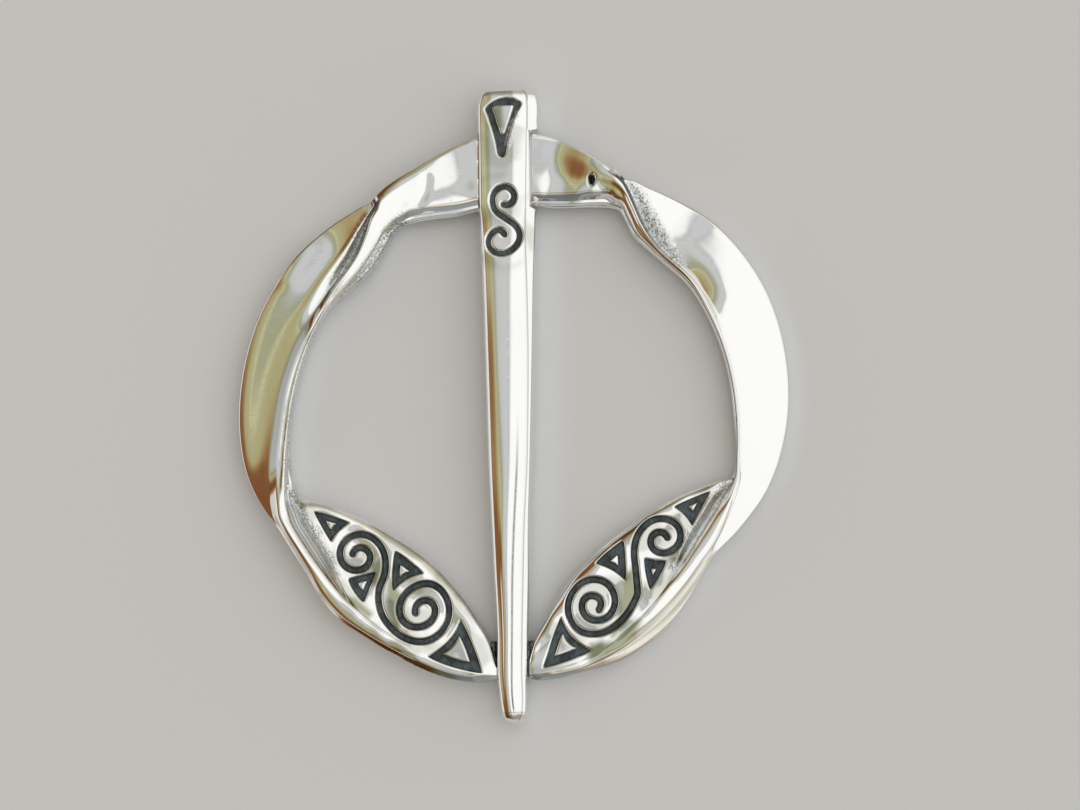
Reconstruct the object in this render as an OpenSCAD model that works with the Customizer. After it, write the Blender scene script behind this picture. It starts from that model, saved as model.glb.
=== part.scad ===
// Ring brooch with a swinging pin, cast in silver, lying on its back with its face up.
// Millimetres. X runs across the ring, Y runs along the pin towards its head, Z is up.
// The origin is under the middle of the pin's length and of the ring's width, on the surface.

/* [Ring] */
// Width of the ring, outer edge to outer edge
ring_w = 45.5; // [45.2:0.1:45.8]
// How far the ring's centre lies below the middle of the pin's length
ring_down = 0.29; // [0.2:0.01:0.35]
// Turn of the ring against the pin, clockwise
ring_turn = 0.7; // [0:0.1:1]
// Depth of the sunk ornament below the plates
sunk_deep = 0.4; // [0.3:0.05:0.6]
// Width of the scroll grooves on the plates
scroll_w = 0.5; // [0.4:0.02:0.56]

/* [Hinge] */
// Distance of the hinge bar from the ring's centre
hinge_y = 19.4; // [19.2:0.1:19.6]
// Height of the hinge bar's middle above the back
hinge_z = 1.75; // [1.7:0.05:1.8]
// Diameter of the hinge bar
bar_d = 1.24; // [1.2:0.02:1.24]
// Diameter of the pin's bore on the bar
bore_d = 1.36; // [1.32:0.02:1.4]
// Width of the gap between the ring's shoulders
gap_w = 4.3; // [4.28:0.02:4.4]

/* [Bridge] */
// Length of the bridge that joins the two plates behind the pin, along the pin
bridge_l = 2.9; // [2.6:0.1:3]
// Width of the bridge, from plate to plate
bridge_w = 4.6; // [4.4:0.1:4.8]
// Height of the bridge
bridge_h = 1.9; // [1.8:0.05:2]
// Height of the seat that the pin rests in
seat_z = 1.1; // [1:0.05:1.12]

/* [Pin] */
// Length of the pin, head to tip
pin_l = 52.2; // [51.8:0.1:52.4]
// Distance of the pin's middle line from the ring's, to the left
pin_off = 0.5; // [0.4:0.05:0.5]
// Depth of the ornament sunk into the pin's head
head_deep = 0.38; // [0.3:0.02:0.45]
// Width of the scroll groove on the pin's head
head_scroll_w = 0.42; // [0.36:0.02:0.46]

/* [Hidden] */

// Sections of the ring, one row for each, from the top round to the tip of a plate. Columns: angle
// from the top, then the distance from the ring's centre of the outer edge, the blade's foot, the
// ridge's outer and inner edge, the cleft, the plate's outer edge and the inner edge, then the
// height of the outer edge, the blade's hollow, its foot, the ridge, the cleft, the plate, the
// inner edge and the back. Where a row has no blade or no plate, those columns close up.
ANGLE = 0;
OUT = 1;
FOOT = 2;
RIDGE_OUT = 3;
RIDGE_IN = 4;
CLEFT = 5;
PLATE = 6;
IN = 7;
Z_OUT = 8;
Z_HOLLOW = 9;
Z_FOOT = 10;
Z_RIDGE = 11;
Z_CLEFT = 12;
Z_PLATE = 13;
Z_IN = 14;
Z_BACK = 15;

left_rows = [
    [2, 22.60, 22.25, 22.05, 17.45, 17.27, 17.06, 16.68, 2.25, 2.35, 2.40, 2.40, 2.30, 2.10, 1.80, 1.10],
    [9, 22.50, 22.20, 22.00, 17.45, 17.27, 17.06, 16.63, 2.25, 2.35, 2.40, 2.40, 2.30, 2.10, 1.80, 1.10],
    [16, 21.96, 21.70, 21.50, 17.52, 17.34, 17.12, 16.64, 2.20, 2.35, 2.40, 2.40, 2.30, 2.10, 1.75, 1.10],
    [22, 21.46, 21.20, 21.00, 17.90, 17.72, 17.50, 17.02, 2.15, 2.30, 2.42, 2.42, 2.30, 2.05, 1.70, 1.00],
    [28, 21.28, 20.93, 20.70, 18.48, 18.30, 18.06, 17.58, 2.00, 2.20, 2.45, 2.50, 2.25, 1.90, 1.60, 0.80],
    [32, 21.12, 20.72, 20.50, 18.50, 18.34, 18.12, 17.90, 1.80, 2.10, 2.50, 2.60, 2.20, 1.85, 1.50, 0.55],
    [35, 20.62, 20.35, 20.15, 18.38, 18.20, 17.95, 17.66, 1.55, 1.60, 1.75, 2.70, 2.20, 1.80, 1.40, 0.30],
    [37, 20.98, 20.00, 19.80, 18.25, 18.02, 17.70, 17.32, 1.70, 1.85, 1.30, 2.75, 2.20, 1.80, 1.40, 0.20],
    [40, 21.16, 19.35, 19.20, 17.86, 17.62, 17.30, 16.96, 1.72, 1.98, 1.20, 2.85, 2.20, 1.70, 1.30, 0.08],
    [45, 21.46, 18.50, 18.33, 17.42, 17.18, 16.86, 16.54, 1.72, 2.02, 1.25, 2.95, 2.20, 1.70, 1.20, 0.00],
    [50, 21.75, 18.15, 17.98, 17.22, 17.04, 16.82, 16.60, 1.72, 2.00, 1.35, 3.00, 2.30, 1.70, 1.20, 0.00],
    [56, 22.20, 18.10, 17.93, 17.30, 17.20, 17.12, 17.02, 1.70, 1.96, 1.45, 3.00, 2.50, 1.80, 1.20, 0.00],
    [62, 22.44, 18.22, 18.04, 17.62, 17.59, 17.56, 17.52, 1.66, 1.94, 1.60, 3.00, 2.55, 1.85, 1.20, 0.00],
    [70, 22.64, 18.70, 18.27, 17.84, 17.83, 17.83, 17.82, 1.60, 1.92, 1.85, 2.95, 2.60, 1.90, 1.20, 0.00],
    [82, 22.84, 19.32, 18.84, 18.18, 18.17, 18.17, 18.16, 1.52, 1.88, 2.02, 2.90, 2.60, 1.90, 1.20, 0.00],
    [94, 22.94, 19.97, 19.42, 18.74, 18.73, 18.72, 18.70, 1.48, 1.86, 2.08, 2.90, 2.60, 1.90, 1.20, 0.00],
    [103, 22.84, 20.78, 20.22, 19.44, 19.38, 19.30, 19.20, 1.46, 1.88, 2.12, 2.90, 2.40, 1.80, 1.20, 0.00],
    [108, 22.56, 21.25, 20.74, 20.00, 19.80, 19.55, 19.28, 1.50, 1.92, 2.18, 2.90, 2.00, 1.70, 1.30, 0.00],
    [112, 22.20, 21.62, 21.20, 20.46, 20.12, 19.62, 19.14, 1.55, 1.98, 2.32, 2.88, 1.50, 1.95, 1.60, 0.00],
    [115, 21.90, 21.68, 21.44, 20.75, 20.20, 19.45, 18.10, 1.60, 2.15, 2.45, 2.85, 1.30, 2.30, 2.05, 0.00],
    [118, 21.74, 21.54, 21.36, 20.85, 20.30, 19.35, 17.10, 1.70, 2.30, 2.60, 2.80, 1.25, 2.38, 2.20, 0.00],
    [123, 21.70, 21.48, 21.30, 20.82, 20.25, 19.30, 15.95, 1.70, 2.30, 2.55, 2.75, 1.30, 2.40, 2.20, 0.00],
    [129, 21.85, 21.60, 21.40, 20.85, 20.35, 19.50, 15.03, 1.70, 2.20, 2.50, 2.65, 1.50, 2.40, 2.20, 0.00],
    [134, 22.25, 21.95, 21.68, 20.95, 20.60, 20.10, 14.60, 1.60, 2.05, 2.40, 2.55, 2.00, 2.40, 2.20, 0.00],
    [140, 22.52, 22.15, 21.88, 21.10, 20.95, 20.75, 14.32, 1.55, 2.00, 2.35, 2.48, 2.38, 2.42, 2.20, 0.00],
    [147, 22.40, 22.08, 21.85, 21.30, 21.20, 21.05, 14.28, 1.55, 2.05, 2.35, 2.46, 2.40, 2.42, 2.20, 0.00],
    [154, 22.40, 22.10, 21.88, 21.40, 21.30, 21.15, 14.60, 1.60, 2.05, 2.35, 2.45, 2.40, 2.42, 2.20, 0.00],
    [160, 22.55, 22.25, 22.07, 21.60, 21.50, 21.35, 15.32, 1.70, 2.10, 2.35, 2.43, 2.40, 2.40, 2.20, 0.00],
    [165, 22.70, 22.40, 22.22, 21.80, 21.70, 21.55, 16.18, 1.75, 2.12, 2.33, 2.40, 2.38, 2.38, 2.18, 0.00],
    [170, 22.66, 22.42, 22.26, 21.85, 21.75, 21.60, 17.58, 1.75, 2.10, 2.28, 2.36, 2.36, 2.36, 2.15, 0.00],
    [174, 22.45, 22.25, 22.10, 21.75, 21.65, 21.50, 19.20, 1.70, 2.05, 2.24, 2.32, 2.32, 2.32, 2.10, 0.00],
    [176.5, 22.26, 22.16, 22.08, 21.95, 21.86, 21.75, 21.35, 1.60, 1.90, 2.10, 2.20, 2.22, 2.22, 2.00, 0.00],
];
right_rows = [
    [1, 22.66, 22.31, 22.10, 17.45, 17.27, 17.06, 16.73, 2.25, 2.35, 2.40, 2.40, 2.30, 2.10, 1.80, 1.10],
    [6, 22.62, 22.30, 22.08, 17.55, 17.37, 17.16, 16.83, 2.25, 2.35, 2.40, 2.40, 2.30, 2.10, 1.80, 1.10],
    [11, 22.32, 22.04, 21.84, 17.78, 17.58, 17.36, 17.00, 2.20, 2.35, 2.40, 2.40, 2.30, 2.10, 1.75, 1.10],
    [16, 21.87, 21.62, 21.42, 18.18, 17.96, 17.70, 17.30, 2.15, 2.30, 2.42, 2.42, 2.30, 2.05, 1.70, 1.00],
    [21, 21.44, 21.18, 20.96, 18.84, 18.60, 18.32, 17.92, 2.05, 2.20, 2.45, 2.50, 2.25, 1.90, 1.60, 0.75],
    [24, 21.18, 20.92, 20.74, 19.18, 18.98, 18.72, 18.36, 1.90, 2.10, 2.50, 2.60, 2.20, 1.85, 1.50, 0.50],
    [26, 20.90, 20.70, 20.55, 19.15, 18.90, 18.63, 18.36, 1.60, 1.60, 1.75, 2.70, 2.20, 1.80, 1.40, 0.30],
    [28, 21.18, 20.20, 20.04, 19.00, 18.85, 18.68, 18.42, 1.70, 1.80, 1.30, 2.75, 2.20, 1.80, 1.40, 0.20],
    [31, 21.32, 19.42, 19.27, 18.35, 18.20, 18.05, 17.88, 1.72, 1.95, 1.20, 2.85, 2.20, 1.70, 1.30, 0.08],
    [35, 21.58, 18.55, 18.38, 17.60, 17.50, 17.38, 17.20, 1.72, 1.98, 1.25, 2.92, 2.20, 1.70, 1.20, 0.00],
    [40, 21.95, 17.92, 17.74, 17.32, 17.26, 17.20, 17.04, 1.72, 1.96, 1.38, 2.95, 2.30, 1.70, 1.20, 0.00],
    [46, 22.31, 17.76, 17.58, 17.28, 17.24, 17.20, 17.08, 1.70, 1.94, 1.55, 2.95, 2.50, 1.80, 1.20, 0.00],
    [55, 22.60, 18.10, 17.90, 17.64, 17.60, 17.55, 17.45, 1.66, 1.90, 1.72, 2.90, 2.55, 1.85, 1.20, 0.00],
    [66, 22.78, 18.25, 17.95, 17.75, 17.71, 17.66, 17.56, 1.60, 1.86, 1.86, 2.85, 2.55, 1.90, 1.20, 0.00],
    [80, 22.66, 18.50, 18.12, 17.95, 17.92, 17.87, 17.75, 1.54, 1.84, 1.94, 2.80, 2.50, 1.90, 1.20, 0.00],
    [92, 22.38, 18.82, 18.42, 18.25, 18.22, 18.16, 18.02, 1.50, 1.84, 1.98, 2.80, 2.50, 1.90, 1.20, 0.00],
    [102, 22.02, 19.20, 18.88, 18.72, 18.68, 18.63, 18.52, 1.48, 1.84, 2.02, 2.80, 2.40, 1.80, 1.20, 0.00],
    [108, 21.74, 19.55, 19.35, 19.15, 19.05, 18.90, 18.62, 1.50, 1.86, 2.08, 2.80, 2.00, 1.70, 1.30, 0.00],
    [111, 21.52, 19.62, 19.45, 19.18, 18.75, 18.12, 17.45, 1.54, 1.88, 2.12, 2.78, 1.40, 2.05, 1.85, 0.00],
    [115, 21.12, 19.72, 19.56, 19.10, 18.45, 17.80, 16.28, 1.58, 1.92, 2.18, 2.75, 1.25, 2.30, 2.10, 0.00],
    [120, 20.72, 19.88, 19.70, 18.88, 18.35, 17.72, 15.17, 1.70, 1.90, 2.25, 2.70, 1.25, 2.38, 2.20, 0.00],
    [125.5, 20.36, 20.08, 19.92, 18.88, 18.35, 17.75, 14.42, 1.60, 2.00, 2.35, 2.65, 1.30, 2.40, 2.20, 0.00],
    [130, 20.46, 20.14, 19.96, 19.02, 18.55, 18.00, 13.93, 1.50, 2.05, 2.35, 2.60, 1.60, 2.40, 2.20, 0.00],
    [136, 20.95, 20.42, 20.22, 19.30, 18.98, 18.60, 13.53, 1.40, 2.00, 2.30, 2.52, 2.10, 2.40, 2.20, 0.00],
    [143, 21.60, 20.80, 20.55, 19.75, 19.60, 19.40, 13.42, 1.35, 1.95, 2.25, 2.46, 2.38, 2.42, 2.20, 0.00],
    [150, 22.12, 21.20, 20.92, 20.35, 20.22, 20.05, 13.58, 1.35, 1.95, 2.25, 2.44, 2.40, 2.42, 2.20, 0.00],
    [156, 22.42, 21.60, 21.34, 20.80, 20.70, 20.55, 14.06, 1.40, 1.95, 2.25, 2.42, 2.40, 2.40, 2.20, 0.00],
    [161, 22.48, 21.87, 21.68, 21.20, 21.10, 20.95, 14.75, 1.50, 2.00, 2.28, 2.40, 2.38, 2.38, 2.20, 0.00],
    [166, 22.43, 22.10, 21.94, 21.55, 21.45, 21.30, 15.78, 1.60, 2.05, 2.28, 2.38, 2.36, 2.36, 2.18, 0.00],
    [171, 22.38, 22.14, 21.98, 21.68, 21.58, 21.45, 17.30, 1.65, 2.05, 2.25, 2.34, 2.34, 2.34, 2.12, 0.00],
    [175, 22.32, 22.16, 22.05, 21.85, 21.76, 21.62, 19.12, 1.65, 2.00, 2.20, 2.30, 2.30, 2.30, 2.08, 0.00],
    [177.3, 22.20, 22.12, 22.05, 21.92, 21.82, 21.70, 21.15, 1.60, 1.90, 2.10, 2.20, 2.22, 2.22, 2.00, 0.00],
];

// Scroll grooves, each made of two spirals. A row is an angle and a distance from the spiral's own
// centre, from the inner end of the first spiral to the inner end of the second.
left_small_at = [-12.85, -12.15];
left_small = [
    [516, 0.46], [470, 0.62], [424, 0.78], [356, 1.06], [305, 1.14], [258, 1.20], [210, 1.36],
    [170, 1.50], [130, 1.66], [90, 1.78], [30, 2.02], [-15, 2.40], [-42, 2.84],
];
left_large_at = [-7.35, -16.75];
left_large = [
    [153, 4.19], [180, 3.58], [206, 3.00], [238, 2.64], [278, 2.38], [329, 2.06], [383, 2.11],
    [436, 2.33], [479, 2.18], [527, 2.10], [566, 1.87], [614, 1.29], [650, 1.02], [697, 0.89],
    [774, 0.97], [847, 0.88], [909, 0.74],
];
right_small_at = [12.15, -11.0];
right_small = [
    [-330, 0.45], [-281, 0.58], [-236, 0.76], [-198, 0.90], [-156, 1.02], [-121, 1.06], [-82, 1.09],
    [-45, 1.20], [-12, 1.38], [38, 1.68], [95, 1.76], [144, 1.88], [169, 2.04], [188, 2.25],
    [204, 2.52], [221, 2.96], [234, 3.55],
];
right_large_at = [6.5, -16.25];
right_large = [
    [14, 3.77], [-4, 3.14], [-36, 2.57], [-80, 2.42], [-121, 2.36], [-165, 2.15], [-214, 2.11],
    [-258, 2.35], [-297, 2.44], [-337, 2.17], [-378, 1.79], [-430, 1.28], [-465, 1.05], [-511, 0.87],
    [-557, 0.85], [-597, 0.92], [-673, 0.96], [-712, 0.90],
];
head_upper_at = [0, 17.01];
head_upper = [
    [-98, 0.64], [-65, 0.75], [-32, 0.80], [6, 0.83], [46, 0.83], [83, 0.87], [117, 0.89], [155, 0.94],
    [192, 1.05], [222, 1.23], [248, 1.46],
];
head_lower_at = [-0.1, 13.46];
head_lower = [
    [62, 1.56], [36, 1.47], [11, 1.36], [-17, 1.19], [-54, 1.07], [-90, 1.13], [-124, 1.28],
    [-153, 1.36], [-178, 1.32], [-206, 1.17], [-234, 1.02], [-255, 0.80], [-278, 0.41],
];

// Sunk triangles with a raised island. Columns: the three corners, how far each side bows
// outwards, and the island's size as a part of the triangle.
left_triangles = [
    [[-16.50, -8.42], [-15.05, -11.00], [-13.50, -9.40], [0.05, -0.20, 0.05], 0.22],
    [[-13.65, -14.02], [-12.35, -15.95], [-11.30, -13.50], [0.15, 0.00, 0.05], 0.24],
    [[-9.75, -11.75], [-9.95, -15.02], [-7.38, -13.62], [0.12, -0.28, 0.08], 0.24],
    [[-4.50, -17.20], [-7.20, -20.20], [-2.73, -21.40], [-0.30, 0.25, 0.18], 0.46],
];
right_triangles = [
    [[16.05, -7.02], [13.05, -8.30], [14.55, -9.85], [0.05, -0.20, 0.05], 0.22],
    [[12.50, -12.72], [10.65, -12.45], [11.15, -15.08], [-0.05, 0.10, 0.10], 0.24],
    [[8.98, -10.98], [6.65, -12.90], [9.15, -14.30], [0.10, -0.22, 0.08], 0.24],
    [[3.55, -16.98], [2.20, -21.20], [6.25, -19.75], [0.05, 0.12, -0.40], 0.46],
];
head_wedge = [[-1.63, 24.48], [-0.14, 20.30], [1.56, 24.80]];
head_wedge_bow = [0.00, -0.18, 0.78];
head_island = [[-0.79, 24.63], [-0.06, 22.66], [0.77, 24.66]];

// Sections of the pin, one row for each. Columns: distance along the pin, half its width at the
// face and at its widest, the height of its underside, of the face's edge and of its crown, then
// how far its sides lean to the right
pin_rows = [
    [26.10, 1.20, 1.50, 0.95, 2.45, 2.60, 0.28],
    [26.04, 1.40, 1.73, 0.78, 2.63, 2.78, 0.29],
    [25.94, 1.55, 1.92, 0.62, 2.78, 2.93, 0.30],
    [25.75, 1.70, 2.10, 0.45, 2.91, 3.08, 0.30],
    [25.50, 1.82, 2.24, 0.32, 3.00, 3.18, 0.29],
    [24.70, 1.93, 2.34, 0.15, 3.07, 3.28, 0.29],
    [23.10, 1.95, 2.34, 0.15, 3.12, 3.34, 0.28],
    [22.71, 1.95, 2.24, 0.15, 3.12, 3.34, 0.18],
    [22.54, 1.95, 2.06, 0.15, 3.12, 3.34, 0.00],
    [16.15, 1.95, 2.06, 0.18, 3.12, 3.34, 0.00],
    [15.95, 1.95, 2.14, 0.19, 3.12, 3.34, 0.12],
    [15.20, 1.95, 2.17, 0.22, 3.12, 3.34, 0.18],
    [10.00, 1.84, 2.03, 0.36, 3.04, 3.26, 0.10],
    [0.00, 1.62, 1.77, 0.62, 2.94, 3.16, 0.04],
    [-10.00, 1.36, 1.47, 0.88, 2.84, 3.06, 0.02],
    [-17.00, 1.16, 1.28, 1.08, 2.77, 2.98, 0.00],
    [-19.00, 1.10, 1.22, 1.15, 2.75, 2.95, 0.00],
    [-22.20, 1.00, 1.10, 1.15, 2.70, 2.90, 0.00],
    [-24.00, 0.88, 0.99, 1.18, 2.64, 2.84, 0.00],
    [-25.20, 0.74, 0.84, 1.26, 2.50, 2.70, 0.00],
    [-25.50, 0.65, 0.75, 1.32, 2.43, 2.61, 0.00],
    [-25.75, 0.51, 0.60, 1.42, 2.32, 2.48, 0.00],
    [-25.98, 0.28, 0.36, 1.60, 2.14, 2.24, 0.00],
    [-26.10, 0.08, 0.14, 1.78, 1.98, 2.02, 0.00],
];

// Steps along the curved forms
SIDE_SECTIONS = 72;
SCROLL_STEPS = 3;
BOW_STEPS = 6;

// Shift of the ring to the right, which keeps the whole brooch over the origin
mid_x = 0.22;
// Heights that the sunk ornament of the plates and of the pin's head is measured from
plate_z = 2.4;
face_z = 3.3;
// Middle of the bridge along the pin, and half the width of the pin's seat in it
bridge_y = -20.55;
seat_half = 1.4;
// How far the hinge bar goes into each shoulder
bar_in = 1.2;
// How far the back of the ring's edges lies inside its outline
undercut = 0.4;
// Lengths that are long enough to cut clean through
above = 2;
cutter = 8;

function mix(a, b, t) = a + (b - a) * t;
function unit(v) = v / norm(v);

// Value of a column part-way down a table, on a smooth curve through its rows
function row_before(rows, a) = max([for (i = [0:len(rows) - 2]) if (i == 0 || rows[i][0] <= a) i]);
function slope(rows, k, i) =
    let (j = max(i - 1, 0), l = min(i + 1, len(rows) - 1))
    (rows[l][k] - rows[j][k]) / (rows[l][0] - rows[j][0]);
function value(rows, k, a) =
    let (i = row_before(rows, a), h = rows[i + 1][0] - rows[i][0], t = (a - rows[i][0]) / h)
    rows[i][k] * (1 + 2 * t) * pow(1 - t, 2) + rows[i + 1][k] * t * t * (3 - 2 * t)
    + h * (slope(rows, k, i) * t * pow(1 - t, 2) - slope(rows, k, i + 1) * t * t * (1 - t));

// Smooth curve through points
function curve_point(p, i, t) =
    let (a = p[max(i - 1, 0)], b = p[i], c = p[i + 1], d = p[min(i + 2, len(p) - 1)])
    b + 0.5 * t * (c - a + t * (2 * a - 5 * b + 4 * c - d + t * (3 * b - a - 3 * c + d)));
function curve(p, steps) = concat(
    [for (i = [0:len(p) - 2]) for (s = [0:steps - 1]) curve_point(p, i, s / steps)],
    [p[len(p) - 1]]
);
function around(centre, rows) = [for (row = rows) centre + row[1] * [cos(row[0]), sin(row[0])]];

// Closed solid through a list of sections that have the same number of points
module loft(sections, turned) {
    n = len(sections[0]);
    last = (len(sections) - 1) * n;
    caps = [[for (k = [0:n - 1]) k], [for (k = [n - 1:-1:0]) last + k]];
    walls = [
        for (i = [0:len(sections) - 2])
        for (k = [0:n - 1])
        let (a = i * n + k, b = i * n + (k + 1) % n)
        each [[a, a + n, b], [b, a + n, b + n]]
    ];
    faces = concat(caps, walls);
    polyhedron(
        [for (s = sections) each s],
        turned ? [for (f = faces) [for (k = [len(f) - 1:-1:0]) f[k]]] : faces,
        convexity = 8
    );
}

// Section of the ring at an angle: distance from the centre and height, from the back of the outer
// edge over the face to the back of the inner edge
function ring_section(rows, a) =
    let (
        v = [for (k = [0:Z_BACK]) value(rows, k, a)],
        back = max(0, v[Z_BACK]),
        lip = min(0.35, 0.4 * (v[PLATE] - v[IN])),
        under = min(undercut, 0.15 * (v[OUT] - v[IN]))
    )
    [
        [v[OUT] - under / 2, back],
        [v[OUT], mix(back, v[Z_OUT], 0.45)],
        [mix(v[OUT], v[FOOT], 0.03), mix(back, v[Z_OUT], 0.9)],
        [mix(v[OUT], v[FOOT], 0.12), v[Z_OUT]],
        [mix(v[OUT], v[FOOT], 0.40), mix(v[Z_OUT], v[Z_HOLLOW], 0.55)],
        [mix(v[OUT], v[FOOT], 0.72), v[Z_HOLLOW]],
        [v[FOOT], v[Z_FOOT]],
        [v[RIDGE_OUT], mix(v[Z_FOOT], v[Z_RIDGE], 0.8)],
        [mix(v[RIDGE_OUT], v[RIDGE_IN], 0.25), v[Z_RIDGE]],
        [v[RIDGE_IN], v[Z_RIDGE] - 0.05],
        [v[CLEFT], v[Z_CLEFT]],
        [v[PLATE], v[Z_PLATE]],
        [mix(v[PLATE], v[IN], 0.5), mix(v[Z_PLATE], v[Z_IN], 0.2)],
        [v[IN] + lip, v[Z_IN]],
        [v[IN], mix(back, v[Z_IN], 0.75)],
        [v[IN] + under, back],
    ];

module ring_side(rows, side) {
    first = rows[0][ANGLE];
    last = rows[len(rows) - 1][ANGLE];
    loft(
        [
            for (i = [0:SIDE_SECTIONS])
            let (a = mix(first, last, i / SIDE_SECTIONS))
            [for (p = ring_section(rows, a)) [side * p[0] * sin(a), p[0] * cos(a), p[1]]]
        ],
        side < 0
    );
}

// Flat shapes of the sunk ornament
module groove(path, w) {
    last = len(path) - 1;
    across = [
        for (i = [0:last])
        let (d = unit(path[min(i + 1, last)] - path[max(i - 1, 0)]))
        [-d[1], d[0]] * w / 2
    ];
    polygon(concat(
        [for (i = [0:last]) path[i] + across[i]],
        [for (i = [last:-1:0]) path[i] - across[i]]
    ));
}

function bowed(corners, bows) = [
    for (i = [0:2])
    let (a = corners[i], b = corners[(i + 1) % 3], d = unit(b - a))
    for (s = [0:BOW_STEPS - 1])
    let (t = s / BOW_STEPS)
    mix(a, b, t) + [d[1], -d[0]] * bows[i] * 4 * t * (1 - t)
];

module sunk_triangle(row) {
    middle = (row[0] + row[1] + row[2]) / 3;
    difference() {
        polygon(bowed([row[0], row[1], row[2]], row[3]));
        polygon([for (k = [0:2]) mix(middle, row[k], row[4])]);
    }
}

module plate_ornament(small_at, small, large_at, large, triangles) {
    groove(curve(concat(around(small_at, small), around(large_at, large)), SCROLL_STEPS), scroll_w);
    for (row = triangles) sunk_triangle(row);
}

// The casting: two sides from the shoulders round to the plates, and the bridge between the plates
module casting() {
    translate([mid_x, -ring_down, 0]) resize([ring_w, 0, 0]) difference() {
        union() {
            rotate([0, 0, -ring_turn]) difference() {
                union() {
                    ring_side(left_rows, -1);
                    ring_side(right_rows, 1);
                }
                translate([0, 0, plate_z - sunk_deep]) linear_extrude(above) {
                    plate_ornament(left_small_at, left_small, left_large_at, left_large, left_triangles);
                    plate_ornament(right_small_at, right_small, right_large_at, right_large, right_triangles);
                }
            }
            translate([-pin_off, bridge_y, bridge_h / 2]) cube([bridge_w, bridge_l, bridge_h], center = true);
        }
        translate([-pin_off, hinge_y, hinge_z]) cube([gap_w, cutter, cutter], center = true);
        translate([-pin_off - seat_half, bridge_y - bridge_l, seat_z]) cube([2 * seat_half, 2 * bridge_l, above]);
    }
}

module at_hinge() translate([mid_x - pin_off, hinge_y - ring_down, hinge_z]) children();

module ring() {
    color("silver") union() {
        casting();
        at_hinge() rotate([0, 90, 0])
            cylinder(d = bar_d, h = gap_w + 2 * bar_in, center = true, $fn = 64);
    }
}

function pin_section(v) = [
    for (p = [
        [v[6] - 0.9 * v[2], v[3]],
        [v[6] - v[2], mix(v[3], v[4], 0.25)],
        [-mix(v[1], v[2], 0.2), mix(v[3], v[4], 0.9)],
        [-v[1], v[4]],
        [-0.58 * v[1], mix(v[4], v[5], 0.75)],
        [0, v[5]],
        [0.58 * v[1], mix(v[4], v[5], 0.75)],
        [v[1], v[4]],
        [mix(v[1], v[2], 0.2), mix(v[3], v[4], 0.9)],
        [v[6] + v[2], mix(v[3], v[4], 0.25)],
        [v[6] + 0.9 * v[2], v[3]],
    ])
    [p[0], v[0], p[1]]
];

module pin() {
    color("silver") difference() {
        translate([mid_x - pin_off, 0, 0]) resize([0, pin_l, 0]) difference() {
            loft([for (row = pin_rows) pin_section(row)], true);
            translate([0, 0, face_z - head_deep]) linear_extrude(above) {
                groove(curve(concat(around(head_upper_at, head_upper), around(head_lower_at, head_lower)), 2),
                    head_scroll_w);
                difference() {
                    polygon(bowed(head_wedge, head_wedge_bow));
                    polygon(head_island);
                }
            }
        }
        at_hinge() rotate([0, 90, 0])
            cylinder(d = bore_d, h = cutter, center = true, $fn = 64);
    }
}

ring();
pin();
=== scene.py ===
import math

import bmesh
import bpy
import numpy as np
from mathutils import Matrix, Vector


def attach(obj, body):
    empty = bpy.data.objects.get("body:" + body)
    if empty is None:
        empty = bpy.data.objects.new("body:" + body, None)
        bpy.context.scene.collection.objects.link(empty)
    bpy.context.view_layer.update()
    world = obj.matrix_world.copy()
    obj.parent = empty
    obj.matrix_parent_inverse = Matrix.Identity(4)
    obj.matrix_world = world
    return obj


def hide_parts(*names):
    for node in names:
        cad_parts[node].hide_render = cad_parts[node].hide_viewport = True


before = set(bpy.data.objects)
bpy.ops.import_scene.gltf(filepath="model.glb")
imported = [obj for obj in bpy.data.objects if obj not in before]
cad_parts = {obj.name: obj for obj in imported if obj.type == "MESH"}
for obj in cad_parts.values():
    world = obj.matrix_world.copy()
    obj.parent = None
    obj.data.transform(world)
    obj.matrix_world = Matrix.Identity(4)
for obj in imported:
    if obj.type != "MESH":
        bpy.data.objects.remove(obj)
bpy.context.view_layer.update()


# The view
# The camera looks almost straight down on the face of the brooch, from so far away that near parts
# hardly look larger. Sizes are in millimetres, here and in every section.
MM = 0.001
IMAGE_SIZE = (1080, 810)
PIXELS_PER_MM = 12.2
# A point in the middle of the brooch's face, and the pixel of the photograph where it lies
AIM = (0.22, -0.29, 2.4)
AIM_PIXEL = (514.0, 407.0)
# How far the view leans back, to which side, and how far the picture is turned
TILT = math.radians(8.0)
TURN = math.radians(40.0)
ROLL = math.radians(0.7)
# How far away the camera stands, how broad its sensor is, and the nearest distance that it draws
AWAY = 400.0
SENSOR = 36.0
NEAREST = 5.0

scene = bpy.context.scene
scene.view_settings.view_transform = "Standard"
back = Vector((math.sin(TILT) * math.sin(TURN), -math.sin(TILT) * math.cos(TURN), math.cos(TILT)))
right = Vector((math.sin(ROLL), math.cos(ROLL), 0)).cross(back).normalized()
up = back.cross(right)
across = (IMAGE_SIZE[0] / 2 - AIM_PIXEL[0]) / PIXELS_PER_MM
along = (AIM_PIXEL[1] - IMAGE_SIZE[1] / 2) / PIXELS_PER_MM
lens = bpy.data.cameras.new("camera")
lens.sensor_width = SENSOR
lens.lens = SENSOR * AWAY * PIXELS_PER_MM / IMAGE_SIZE[0]
lens.clip_start = NEAREST * MM
camera = bpy.data.objects.new("camera", lens)
scene.collection.objects.link(camera)
for column, axis in enumerate((right, up, back)):
    for row in range(3):
        camera.matrix_world[row][column] = axis[row]
camera.matrix_world.translation = (Vector(AIM) + back * AWAY + right * across + up * along) * MM
scene.camera = camera


# The studio and the table
# Polished silver shows only what stands round it, so the studio is white on its right side and has a
# grey, an olive and a brown band towards its left. The brooch lies on a plain pale table.

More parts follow.
